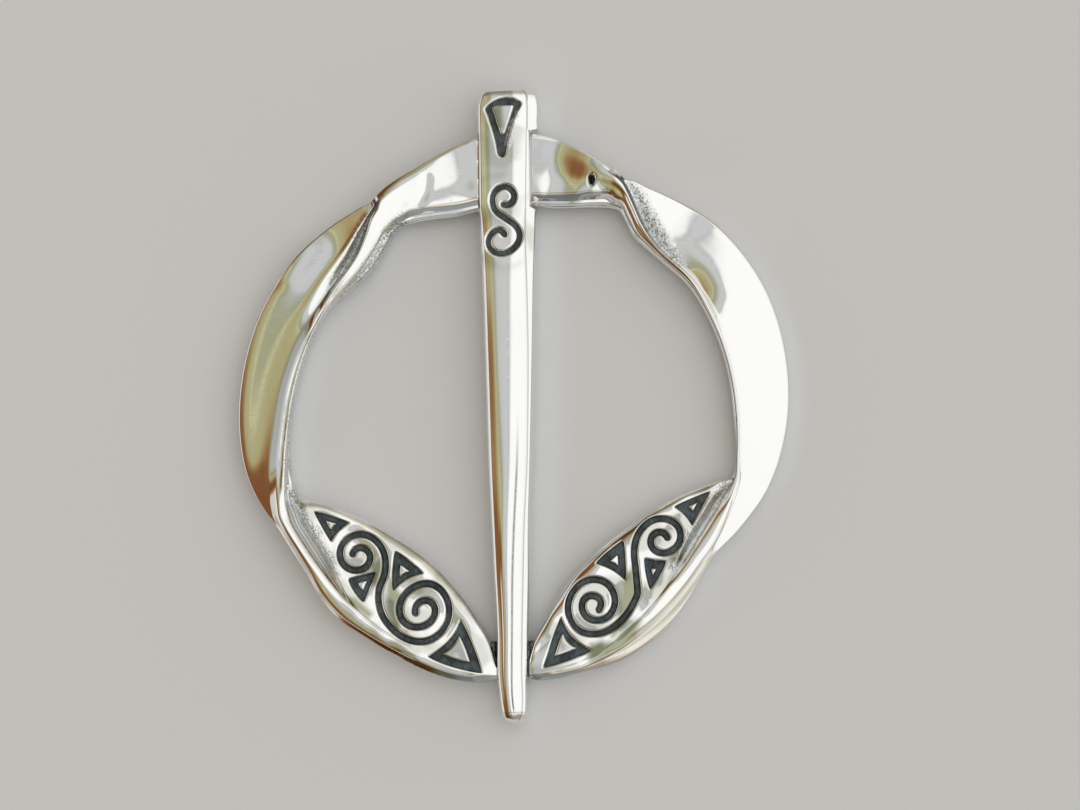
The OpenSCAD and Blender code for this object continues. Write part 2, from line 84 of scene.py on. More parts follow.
# Bands of the studio. Columns: how far to the right, or how far up the picture, a direction points,
# and the colour there. The colours of both tables are multiplied
BANDS_ACROSS = [
    (-1.00, (0.80, 0.80, 0.78)),
    (-0.78, (0.74, 0.73, 0.70)),
    (-0.72, (0.36, 0.22, 0.12)),
    (-0.64, (0.19, 0.075, 0.028)),
    (-0.52, (0.23, 0.105, 0.042)),
    (-0.47, (0.34, 0.21, 0.095)),
    (-0.43, (0.42, 0.38, 0.20)),
    (-0.387, (0.43, 0.42, 0.24)),
    (-0.375, (0.60, 0.57, 0.35)),
    (-0.362, (0.36, 0.36, 0.22)),
    (-0.325, (0.37, 0.38, 0.28)),
    (-0.30, (0.44, 0.45, 0.41)),
    (-0.26, (0.57, 0.58, 0.57)),
    (-0.17, (0.60, 0.61, 0.61)),
    (-0.145, (0.51, 0.52, 0.53)),
    (-0.125, (0.66, 0.67, 0.67)),
    (-0.10, (0.96, 0.96, 0.96)),
    (-0.04, (1.04, 1.04, 1.04)),
    (1.00, (1.02, 1.02, 1.02)),
]
BANDS_ALONG = [
    (-1.00, (0.30, 0.33, 0.35)),
    (-0.86, (0.26, 0.27, 0.27)),
    (-0.76, (0.36, 0.29, 0.20)),
    (-0.68, (0.62, 0.51, 0.42)),
    (-0.61, (0.88, 0.86, 0.82)),
    (-0.55, (0.80, 0.78, 0.70)),
    (-0.49, (0.50, 0.49, 0.36)),
    (-0.43, (0.66, 0.66, 0.58)),
    (-0.35, (0.98, 0.98, 0.97)),
    (0.45, (1.00, 1.00, 1.00)),
    (0.62, (0.78, 0.76, 0.69)),
    (0.82, (0.56, 0.52, 0.42)),
    (1.00, (0.40, 0.38, 0.32)),
]
# How far the table reaches each way from the middle, and its paint
TABLE_REACH = 400
TABLE_GREY = (0.83, 0.84, 0.86, 1)
TABLE_ROUGHNESS = 0.9
TABLE_SHINE = 0.2


class Nodes:
    """Short words for building a tree of nodes."""

    def __init__(self, tree):
        self.tree = tree

    def fill(self, socket, value):
        """Links a socket to another one, or sets its number, colour or name."""
        if isinstance(value, bpy.types.NodeSocket):
            self.tree.links.new(value, socket)
        elif socket.type == "RGBA":
            socket.default_value = (*value, 1)
        else:
            socket.default_value = value

    def node(self, kind, **settings):
        """A new node with its settings, and with values or links on the sockets that are named."""
        made = self.tree.nodes.new(kind)
        for name, value in settings.items():
            if hasattr(made, name):
                setattr(made, name, value)
            else:
                self.fill(made.inputs[name.replace("_", " ")], value)
        return made

    def maths(self, operation, a, b):
        """Works out something from two sockets or numbers."""
        made = self.node("ShaderNodeMath", operation=operation)
        self.fill(made.inputs[0], a)
        self.fill(made.inputs[1], b)
        return made.outputs[0]

    def total(self, first, *others):
        """All the values added up."""
        for other in others:
            first = self.maths("ADD", first, other)
        return first

    def product(self, first, *others):
        """All the values multiplied."""
        for other in others:
            first = self.maths("MULTIPLY", first, other)
        return first

    def less(self, a, b):
        """What is left of a without b."""
        return self.maths("SUBTRACT", a, b)

    def ramp(self, value, low, high):
        """0 up to the low value, 1 from the high one on, and smooth between them."""
        made = self.node("ShaderNodeMapRange", interpolation_type="SMOOTHSTEP", Value=value, From_Min=low,
                         From_Max=high)
        return made.outputs["Result"]

    def noise(self, place, per_mm, detail):
        """Noise from 0 to 1 that changes so many times in a millimetre."""
        return self.node("ShaderNodeTexNoise", Vector=place, Scale=per_mm / MM, Detail=detail).outputs[0]

    def mixed(self, factor, a, b, way="MIX"):
        """Two colours mixed or multiplied. The factor is the second one's share."""
        made = self.node("ShaderNodeMix", data_type="RGBA", blend_type=way)
        self.fill(made.inputs[0], factor)
        self.fill(made.inputs[6], a)
        self.fill(made.inputs[7], b)
        return made.outputs[2]


def band_colours(nodes, towards, bands):
    """Colours of a table of bands, for directions that point from -1 to 1 along an axis."""
    part = nodes.node("ShaderNodeMapRange", Value=towards, From_Min=-1.0).outputs["Result"]
    shown = nodes.node("ShaderNodeValToRGB", Fac=part)
    stops = shown.color_ramp.elements
    while len(stops) > 1:
        stops.remove(stops[-1])
    for k, (at, colour) in enumerate(bands):
        stop = stops[0] if k == 0 else stops.new((at + 1) / 2)
        stop.position = (at + 1) / 2
        stop.color = (*colour, 1)
    return shown.outputs["Color"]


def painted(name, **sockets):
    """A material and its shader, with numbers and colours straight on the shader's sockets."""
    material = bpy.data.materials.new(name)
    material.use_nodes = True
    shader = material.node_tree.nodes["Principled BSDF"]
    for socket, value in sockets.items():
        shader.inputs[socket.replace("_", " ")].default_value = value
    return material, shader


def mesh_object(name, points, faces, material=None, edges=()):
    """An object of points in millimetres."""
    mesh = bpy.data.meshes.new(name)
    mesh.from_pydata((np.asarray(points, float) * MM).tolist(), edges, faces)
    mesh.update()
    thing = bpy.data.objects.new(name, mesh)
    scene.collection.objects.link(thing)
    if material:
        mesh.materials.append(material)
    return thing


world = bpy.data.worlds.new("studio")
world.use_nodes = True
world.node_tree.nodes.clear()
scene.world = world
nodes = Nodes(world.node_tree)
towards = nodes.node("ShaderNodeSeparateXYZ", Vector=nodes.node("ShaderNodeTexCoord").outputs["Generated"])
both = nodes.mixed(1.0, band_colours(nodes, towards.outputs["X"], BANDS_ACROSS),
                   band_colours(nodes, towards.outputs["Y"], BANDS_ALONG), "MULTIPLY")
glow = nodes.node("ShaderNodeBackground", Color=both)
nodes.node("ShaderNodeOutputWorld", Surface=glow.outputs[0])

table_paint, _ = painted("table", Base_Color=TABLE_GREY, Roughness=TABLE_ROUGHNESS,
                         Specular_IOR_Level=TABLE_SHINE)
corners = [(x * TABLE_REACH, y * TABLE_REACH, 0) for x, y in ((-1, -1), (1, -1), (1, 1), (-1, 1))]
table = mesh_object("table", corners, [(0, 1, 2, 3)], table_paint)


# The two sides of the ring
# Each side is cast in sterling silver as one sweep. A flat ribbon at the pin's head folds over, becomes
# a dished blade with a raised strip along its inside, and ends in a leaf-shaped plate. Every face is
# polished by hand, and the ends are sawn off square beside the pin.

# The polish leaves fine scratches and lays pores of the casting bare. Sunk places are blackened, and hollows
# that no wheel reached stay rough. Edges and creases get painted shade and dark painted reflections, and
# some lands get a painted olive reflection. Where two colours are given, noise mixes them
POLISHED = ((0.945, 0.940, 0.920), (0.930, 0.930, 0.920))
# A grey-brown film of painted shade
PAINTED_SHADE_FILM = (0.44, 0.43, 0.40)
# An olive painted reflection
OLIVE_REFLECTION = (0.36, 0.375, 0.25)
CASTING_SKIN = ((0.50, 0.55, 0.56), (0.78, 0.80, 0.79))
PIT = (0.13, 0.15, 0.16)
# Blackening, which strong painted shade also takes
BLACKENING_AND_SHADE = ((0.045, 0.060, 0.066), (0.095, 0.122, 0.128))
# Patches that noise makes in the finish. Columns: how many come to a millimetre, how fine they are, and
# the values of the noise where they begin and where they are full
POLISH_PATCHES = (0.24, 2.0, 0.40, 0.70)
HAZE_PATCHES = (0.7, 3.0, 0.45, 0.80)
BLACK_PATCHES = (1.1, 3.0, 0.38, 0.66)
PORE_PATCHES = (0.33, 1.0, 0.56, 0.66)
# Polishing scratches. Columns: how many come to a millimetre, how much longer than broad they are, and
# the values of the noise where they begin and where they are full. Some cross the stroke at an angle
SCRATCHES = (0.9, 14.0, 0.62, 0.74)
CROSSING_SCRATCHES = (0.7, 16.0, 0.66, 0.76)
CROSSING_TURN = 0.9
# Other noise: how many come to a millimetre, and how fine it is
GRAIN = (5.2, 4.0)
RUBBING = (2.6, 3.0)
PITTING = (6.2, 2.0)
PORES_PER_MM = 1.5
# Values where a look begins and where it is full
BLACK_EDGE = (0.30, 0.72)
PAINTED_SHADE_BLACK_EDGE = (0.45, 0.95)
PAINTED_SHADE_FILM_EDGE = (0.0, 0.6)
SKIN_EDGE = (0.35, 0.65)
PIT_EDGE = (0.66, 0.76)
PITTED_EDGE = (0.02, 0.25)
PORE_EDGE = (0.05, 0.13)
# Blackening is this strong where it was rubbed, and stronger by noise elsewhere. The grain breaks up the
# painted shade, and a rough face draws pits together
RUBBED_BLACK = 0.72
RUBBING_CHANGE = 0.5
PAINTED_SHADE_GRAIN = 0.8
PIT_CROWDING = 0.13
# How much of the pits' colour shows, and how much of the metal's shine the blackening and the painted shade
# take
PIT_SHARE = 0.66
SHINE_LOST = 0.55
# How rough the polished face is, and what haze, casting skin, blackening and painted shade add to that
POLISH_ROUGHNESS = 0.05
HAZE_ROUGHNESS = 0.04
SKIN_ROUGHNESS = 0.16
BLACK_ROUGHNESS = 0.30
# Marks stand up or lie deep by so many times this height
MARK_HEIGHT = 0.004
SCRATCH_MARK = -0.25
CROSSING_MARK = -0.2
PORE_MARK = -2.0
SKIN_MARK = 20.0
PIT_MARK = -6.0
BLACK_MARK = 10.0


def silver(name, stroke):
    """Silver that is black, rough, olive as a painted reflection, and dark as painted shade where its mesh
    says so, and polished along a stroke that is turned so many radians."""
    material, shader = painted(name, Metallic=1.0)
    nodes = Nodes(material.node_tree)
    place = nodes.node("ShaderNodeTexCoord").outputs["Object"]
    oxide, rough, tone, painted_shade = [nodes.node("ShaderNodeAttribute", attribute_name=word).outputs["Fac"]
                                   for word in ("oxide", "rough", "tone", "painted_shade")]

    def patches(per_mm, detail, low, high):
        """Patches of noise, 0 between them and 1 in them."""
        return nodes.ramp(nodes.noise(place, per_mm, detail), low, high)

    def scratches(per_mm, longer, low, high, turn):
        """Patches that are drawn out along a stroke."""
        drawn = nodes.node("ShaderNodeMapping", Vector=place, Rotation=(0, 0, turn),
                           Scale=(1, longer, longer))
        return nodes.ramp(nodes.noise(drawn.outputs[0], per_mm, 4.0), low, high)

    grain = nodes.noise(place, *GRAIN)
    # Blackening is patchy, and thins out towards rubbed edges
    rubbed = nodes.product(nodes.noise(place, *RUBBING), RUBBING_CHANGE)
    patchy = nodes.product(oxide, nodes.total(RUBBED_BLACK, rubbed))
    # Painted shade of the edges and creases is broken up by the grain, and turns black where it is strong
    uneven_shade = nodes.total(painted_shade, nodes.product(nodes.less(grain, 0.5), painted_shade, PAINTED_SHADE_GRAIN))
    black = nodes.maths("MAXIMUM", nodes.ramp(patchy, *BLACK_EDGE), nodes.ramp(uneven_shade, *PAINTED_SHADE_BLACK_EDGE))
    # Pits of the casting stand close in the rough hollows and thin out beside them
    pitted = nodes.total(nodes.noise(place, *PITTING), nodes.product(rough, PIT_CROWDING))
    pits = nodes.product(nodes.ramp(pitted, *PIT_EDGE), nodes.ramp(rough, *PITTED_EDGE))

    colour = nodes.mixed(patches(*POLISH_PATCHES), *POLISHED)
    # Weak painted shade is a grey-brown film, and some lands carry a painted olive reflection
    colour = nodes.mixed(nodes.ramp(painted_shade, *PAINTED_SHADE_FILM_EDGE), colour, PAINTED_SHADE_FILM)
    colour = nodes.mixed(tone, colour, OLIVE_REFLECTION)
    colour = nodes.mixed(rough, colour, nodes.mixed(nodes.ramp(grain, *SKIN_EDGE), *CASTING_SKIN))
    colour = nodes.mixed(nodes.product(pits, PIT_SHARE), colour, PIT)
    blackened_and_shaded = nodes.mixed(patches(*BLACK_PATCHES), *BLACKENING_AND_SHADE)
    nodes.fill(shader.inputs["Base Color"], nodes.mixed(black, colour, blackened_and_shaded))
    nodes.fill(shader.inputs["Metallic"], nodes.less(1.0, nodes.product(black, SHINE_LOST)))
    nodes.fill(shader.inputs["Roughness"], nodes.total(
        POLISH_ROUGHNESS,
        nodes.product(patches(*HAZE_PATCHES), HAZE_ROUGHNESS),
        nodes.product(rough, SKIN_ROUGHNESS),
        nodes.product(black, BLACK_ROUGHNESS)))

    # Fine scratches lie along the polishing stroke and some across it, pores lie anywhere
    spread = nodes.node("ShaderNodeTexVoronoi", Vector=place, Scale=PORES_PER_MM / MM).outputs["Distance"]
    pores = nodes.product(nodes.less(1.0, nodes.ramp(spread, *PORE_EDGE)), patches(*PORE_PATCHES))
    height = nodes.total(
        nodes.product(scratches(*SCRATCHES, stroke), SCRATCH_MARK),
        nodes.product(scratches(*CROSSING_SCRATCHES, stroke + CROSSING_TURN), CROSSING_MARK),
        nodes.product(pores, PORE_MARK),
        nodes.product(grain, rough, SKIN_MARK),
        nodes.product(pits, PIT_MARK),
        nodes.product(grain, black, BLACK_MARK))
    bump = nodes.node("ShaderNodeBump", Strength=1.0, Distance=MARK_HEIGHT * MM, Height=height)
    nodes.fill(shader.inputs["Normal"], bump.outputs["Normal"])
    return material


ring_silver = silver("ring_silver", stroke=0.5)

LEFT, RIGHT = -1, 1
# Where the ring ends at its left and right, how far up its centre lies, how far the whole ring is
# turned, and its highest point
RING_SIDES = (-22.744, 22.752)
RING_Y = -0.29
RING_TURN = math.radians(-0.7)
RING_TOP = 3.33
# Where the upper ends stop beside the pin's neck, and the lower ones beside its seat
GAP = {LEFT: -2.40, RIGHT: 1.84}
SEAT = {LEFT: -1.46, RIGHT: 1.24}
# Columns: angle, then the distances from the ring's centre of the outer edge, the blade's foot, the
# strip's outer and inner edge, the cleft, the plate's outer edge and the inner edge
LEFT_PLAN = [
    (2, 22.60, 22.25, 22.05, 17.45, 17.27, 17.06, 16.68),
    (9, 22.50, 22.20, 22.00, 17.45, 17.27, 17.06, 16.63),
    (16, 21.96, 21.70, 21.50, 17.52, 17.34, 17.12, 16.64),
    (22, 21.55, 21.20, 21.00, 17.90, 17.72, 17.50, 17.02),
    (28, 21.34, 20.93, 20.70, 18.48, 18.30, 18.06, 17.58),
    (32, 21.16, 20.72, 20.50, 18.50, 18.34, 18.12, 17.90),
    (35, 20.90, 20.35, 20.15, 18.38, 18.20, 17.95, 17.66),
    (37, 21.06, 20.00, 19.80, 18.25, 18.02, 17.70, 17.32),
    (40, 21.26, 19.50, 19.05, 17.86, 17.62, 17.30, 16.96),
    (45, 21.62, 18.75, 18.20, 17.42, 17.18, 16.86, 16.54),
    (50, 21.92, 18.35, 17.90, 17.22, 17.04, 16.82, 16.60),
    (56, 22.24, 18.25, 17.88, 17.30, 17.20, 17.12, 17.02),
    (62, 22.46, 18.30, 17.98, 17.62, 17.59, 17.56, 17.52),
    (70, 22.68, 18.70, 18.27, 17.84, 17.83, 17.83, 17.82),
    (82, 22.84, 19.32, 18.84, 18.18, 18.17, 18.17, 18.16),
    (94, 22.94, 19.97, 19.42, 18.74, 18.73, 18.72, 18.70),
    (103, 22.84, 20.78, 20.22, 19.44, 19.38, 19.30, 19.20),
    (108, 22.56, 21.25, 20.74, 20.00, 19.80, 19.55, 19.28),
    (112, 22.20, 21.62, 21.20, 20.46, 20.12, 19.62, 19.14),
    (115, 21.90, 21.68, 21.44, 20.75, 20.20, 19.45, 18.10),
    (118, 21.74, 21.54, 21.36, 20.85, 20.30, 19.35, 17.10),
    (123, 21.70, 21.48, 21.30, 20.82, 20.25, 19.30, 15.95),
    (129, 21.85, 21.60, 21.40, 20.85, 20.35, 19.50, 15.03),
    (134, 22.25, 21.95, 21.68, 20.95, 20.60, 20.10, 14.60),
    (140, 22.52, 22.15, 21.88, 21.10, 20.95, 20.75, 14.32),
    (147, 22.40, 22.08, 21.85, 21.30, 21.20, 21.05, 14.28),
    (154, 22.50, 22.10, 21.88, 21.40, 21.30, 21.15, 14.60),
    (160, 22.68, 22.25, 22.07, 21.60, 21.50, 21.35, 15.32),
    (165, 22.82, 22.40, 22.22, 21.80, 21.70, 21.55, 16.18),
    (170, 22.78, 22.42, 22.26, 21.85, 21.75, 21.60, 17.58),
    (174, 22.60, 22.25, 22.10, 21.75, 21.65, 21.50, 19.20),
    (176.5, 22.26, 22.16, 22.08, 21.95, 21.86, 21.75, 21.35),
]
RIGHT_PLAN = [
    (1, 22.66, 22.31, 22.10, 17.45, 17.27, 17.06, 16.73),
    (6, 22.62, 22.30, 22.08, 17.55, 17.37, 17.16, 16.83),
    (11, 22.22, 22.04, 21.84, 17.78, 17.58, 17.36, 16.85),
    (16, 21.78, 21.62, 21.42, 18.18, 17.96, 17.70, 17.20),
    (21, 21.40, 21.18, 20.96, 18.84, 18.60, 18.32, 17.74),
    (24, 21.18, 20.92, 20.74, 19.18, 18.98, 18.72, 18.12),
    (26, 20.90, 20.70, 20.55, 19.15, 18.90, 18.63, 18.36),
    (28, 21.12, 20.20, 20.04, 19.00, 18.85, 18.68, 18.42),
    (31, 21.20, 19.42, 19.27, 18.35, 18.20, 18.05, 17.88),
    (35, 21.47, 18.55, 18.38, 17.60, 17.50, 17.38, 17.20),
    (40, 21.84, 17.92, 17.74, 17.32, 17.26, 17.20, 17.04),
    (46, 22.30, 17.76, 17.58, 17.28, 17.24, 17.20, 17.08),
    (55, 22.60, 18.10, 17.90, 17.64, 17.60, 17.55, 17.45),
    (66, 22.78, 18.25, 17.95, 17.75, 17.71, 17.66, 17.56),
    (80, 22.66, 18.50, 18.12, 17.95, 17.92, 17.87, 17.75),
    (92, 22.44, 18.82, 18.42, 18.25, 18.22, 18.16, 18.02),
    (102, 22.12, 19.20, 18.88, 18.72, 18.68, 18.63, 18.62),
    (108, 21.84, 19.55, 19.35, 19.15, 19.05, 18.90, 18.76),
    (111, 21.65, 19.62, 19.45, 19.18, 18.75, 18.12, 17.45),
    (115, 21.30, 19.72, 19.56, 19.10, 18.45, 17.80, 16.28),
    (120, 20.90, 19.88, 19.70, 18.88, 18.35, 17.72, 15.17),
    (125.5, 20.48, 20.08, 19.92, 18.88, 18.35, 17.75, 14.42),
    (130, 20.56, 20.14, 19.96, 19.02, 18.55, 18.00, 13.93),
    (136, 21.06, 20.42, 20.22, 19.30, 18.98, 18.60, 13.66),
    (143, 21.74, 20.80, 20.55, 19.75, 19.60, 19.40, 13.50),
    (150, 22.26, 21.20, 20.92, 20.35, 20.22, 20.05, 13.70),
    (156, 22.54, 21.60, 21.34, 20.80, 20.70, 20.55, 14.18),
    (161, 22.54, 21.87, 21.68, 21.20, 21.10, 20.95, 14.75),
    (166, 22.43, 22.10, 21.94, 21.55, 21.45, 21.30, 15.78),
    (171, 22.52, 22.14, 21.98, 21.68, 21.58, 21.45, 17.30),
    (175, 22.46, 22.16, 22.05, 21.85, 21.76, 21.62, 19.12),
    (177.3, 22.20, 22.12, 22.05, 21.92, 21.82, 21.70, 21.15),
]
# Columns: angle, the height of the blade's crest, how steeply the blade falls outwards at its outer
# edge, where it falls least and at its crest, then the height of its foot
LEFT_BLADE = [
    (2, 2.49, 0.35, 0.28, 0.20, 2.50),
    (9, 2.43, 0.35, 0.28, 0.20, 2.44),
    (13, 2.36, 0.40, 0.30, 0.20, 2.37),
    (18, 2.36, 0.45, 0.30, 0.20, 2.38),
    (24, 2.38, 0.60, 0.40, 0.25, 2.40),
    (28, 2.42, 0.80, 0.50, 0.30, 2.44),
    (32, 2.46, 1.00, 0.60, 0.40, 2.50),
    (33.5, 2.44, 1.00, 0.60, 0.40, 2.48),
    (34.3, 2.04, 0.30, 0.26, 0.27, 1.90),
    (37, 2.08, 0.27, 0.25, 0.27, 1.58),
    (42, 2.16, 0.25, 0.24, 0.262, 1.54),
    (47.5, 2.20, 0.24, 0.18, 0.24, 1.58),
    (51, 2.21, 0.23, 0.07, 0.225, 1.66),
    (55, 2.19, 0.22, 0.01, 0.215, 1.80),
    (60, 2.145, 0.21, 0.01, 0.205, 1.97),
    (63.5, 2.115, 0.20, 0.07, 0.198, 2.08),
    (67.5, 2.09, 0.20, 0.104, 0.185, 2.175),
    (72, 2.06, 0.21, 0.112, 0.175, 2.18),
    (82, 2.02, 0.23, 0.114, 0.162, 2.13),
    (92, 2.00, 0.26, 0.118, 0.160, 2.10),
    (96, 2.005, 0.27, 0.124, 0.162, 2.10),
    (99, 2.02, 0.275, 0.130, 0.17, 2.11),
    (101.3, 2.04, 0.28, 0.145, 0.19, 2.125),
    (103.3, 2.07, 0.28, 0.19, 0.23, 2.15),
    (105.5, 2.10, 0.28, 0.24, 0.25, 2.17),
    (108, 2.12, 0.28, 0.25, 0.25, 2.18),
    (112, 2.22, 0.28, 0.25, 0.25, 2.25),
    (115, 2.35, 0.35, 0.30, 0.30, 2.38),
    (118, 2.50, 0.90, 0.50, 0.40, 2.58),
    (123, 2.50, 0.95, 0.55, 0.40, 2.56),
    (129, 2.42, 0.95, 0.60, 0.45, 2.50),
    (134, 2.32, 0.95, 0.70, 0.50, 2.42),
    (140, 2.26, 1.00, 0.80, 0.60, 2.35),
    (150, 2.26, 1.00, 0.85, 0.60, 2.35),
    (160, 2.26, 1.00, 0.85, 0.60, 2.34),
    (170, 2.22, 1.00, 0.80, 0.55, 2.28),
    (176.5, 2.06, 0.90, 0.70, 0.50, 2.10),
]
RIGHT_BLADE = [
    (1, 2.39, 0.40, 0.30, 0.20, 2.40),
    (6, 2.445, 0.40, 0.30, 0.20, 2.455),
    (9, 2.50, 0.40, 0.30, 0.20, 2.51),
    (11, 2.61, 0.40, 0.30, 0.20, 2.62),
    (13, 2.75, 0.45, 0.32, 0.22, 2.77),
    (15, 2.90, 0.55, 0.36, 0.24, 2.93),
    (17, 3.04, 0.66, 0.42, 0.26, 3.08),
    (19, 3.13, 0.80, 0.50, 0.30, 3.18),
    (22, 3.18, 0.95, 0.65, 0.40, 3.255),
    (24, 3.155, 1.00, 0.80, 0.60, 3.245),
    (25, 2.60, 0.60, 0.50, 0.40, 2.70),
    (26, 1.92, 0.20, 0.15, 0.10, 2.00),
    (28, 1.84, 0.14, 0.10, 0.04, 1.90),
    (31, 1.84, 0.12, 0.10, 0.02, 1.86),
    (35, 1.85, 0.10, 0.09, 0.00, 1.83),
    (40, 1.86, 0.09, 0.09, -0.02, 1.81),
    (44, 1.86, 0.07, 0.05, -0.10, 1.75),
    (48, 1.83, 0.04, -0.02, -0.21, 1.65),
    (53, 1.80, 0.04, -0.04, -0.25, 1.58),
    (58, 1.82, 0.07, 0.00, -0.22, 1.63),
    (61, 1.87, 0.08, 0.04, -0.14, 1.75),
    (64, 1.94, 0.10, 0.07, -0.03, 1.90),
    (67, 1.97, 0.10, 0.08, 0.08, 1.99),
    (80, 1.94, 0.12, 0.10, 0.12, 2.01),
    (92, 1.92, 0.12, 0.10, 0.13, 2.00),
    (102, 1.94, 0.14, 0.12, 0.16, 2.02),
    (108, 1.97, 0.18, 0.15, 0.18, 2.06),
    (111, 2.00, 0.22, 0.18, 0.20, 2.10),
    (115, 2.07, 0.26, 0.22, 0.22, 2.16),
    (120, 2.16, 0.38, 0.30, 0.28, 2.24),
    (125.5, 2.30, 0.60, 0.50, 0.40, 2.35),
    (130, 2.28, 0.70, 0.50, 0.36, 2.36),
    (136, 2.22, 0.80, 0.50, 0.32, 2.32),
    (143, 2.16, 0.90, 0.48, 0.28, 2.28),
    (150, 2.14, 0.90, 0.46, 0.28, 2.27),
    (156, 2.14, 0.90, 0.48, 0.32, 2.26),
    (161, 2.18, 0.90, 0.55, 0.40, 2.27),
    (171, 2.18, 1.00, 0.80, 0.60, 2.23),
    (177.3, 2.04, 0.90, 0.70, 0.50, 2.08),
]
# Places of the blade's points from its outer edge to its foot, and the one where it falls least
BLADE_PARTS = (0.015, 0.14, 0.27, 0.40, 0.53, 0.67, 0.80)
BLADE_FLATTEST = 0.38
# Columns: angle, then the heights of the strip's outer shoulder, middle and inner edge, of the cleft,
# the plate, the inner edge and the back
LEFT_HEIGHTS = [
    (2, 2.50, 2.50, 2.50, 2.36, 2.10, 1.80, 1.10),
    (9, 2.44, 2.44, 2.44, 2.32, 2.08, 1.80, 1.10),
    (13, 2.37, 2.37, 2.37, 2.26, 2.05, 1.76, 1.08),
    (18, 2.39, 2.38, 2.37, 2.24, 2.00, 1.70, 1.05),
    (24, 2.44, 2.42, 2.38, 2.20, 1.95, 1.64, 0.95),
    (28, 2.50, 2.47, 2.40, 2.20, 1.92, 1.60, 0.80),
    (32, 2.60, 2.56, 2.46, 2.20, 1.90, 1.58, 0.55),
    (35, 2.70, 2.64, 2.54, 2.26, 1.95, 1.60, 0.30),
    (37, 2.75, 2.68, 2.58, 2.30, 2.02, 1.66, 0.20),
    (40, 2.82, 2.76, 2.64, 2.36, 2.08, 1.72, 0.08),
    (45, 2.90, 2.83, 2.72, 2.44, 2.16, 1.84, 0.00),
    (50, 2.92, 2.85, 2.74, 2.50, 2.24, 1.95, 0.00),
    (56, 2.80, 2.74, 2.62, 2.48, 2.30, 2.05, 0.00),
    (62, 2.48, 2.45, 2.44, 2.38, 2.28, 2.08, 0.00),
    (70, 2.225, 2.22, 2.21, 2.10, 1.90, 1.55, 0.00),
    (82, 2.155, 2.15, 2.14, 1.97, 1.58, 1.20, 0.00),
    (94, 2.125, 2.12, 2.11, 1.96, 1.58, 1.20, 0.00),
    (103, 2.175, 2.175, 2.17, 2.00, 1.63, 1.20, 0.00),
    (108, 2.34, 2.36, 2.38, 1.95, 1.65, 1.30, 0.00),
    (112, 2.55, 2.60, 2.50, 1.70, 1.95, 1.60, 0.00),
    (115, 2.66, 2.70, 2.60, 1.40, 2.30, 2.05, 0.00),
    (118, 2.74, 2.78, 2.70, 1.30, 2.38, 2.20, 0.00),
    (123, 2.70, 2.75, 2.66, 1.35, 2.40, 2.20, 0.00),
    (129, 2.62, 2.66, 2.58, 1.50, 2.40, 2.20, 0.00),
    (134, 2.53, 2.57, 2.50, 1.95, 2.40, 2.20, 0.00),
    (140, 2.46, 2.50, 2.46, 2.36, 2.42, 2.20, 0.00),
    (147, 2.44, 2.47, 2.45, 2.40, 2.42, 2.20, 0.00),
    (154, 2.43, 2.46, 2.44, 2.40, 2.42, 2.20, 0.00),
    (160, 2.41, 2.44, 2.43, 2.40, 2.40, 2.20, 0.00),
    (165, 2.38, 2.41, 2.40, 2.38, 2.38, 2.18, 0.00),
    (170, 2.34, 2.37, 2.37, 2.36, 2.36, 2.15, 0.00),
    (174, 2.30, 2.33, 2.33, 2.32, 2.32, 2.10, 0.00),
    (176.5, 2.18, 2.21, 2.22, 2.22, 2.22, 2.00, 0.00),
]
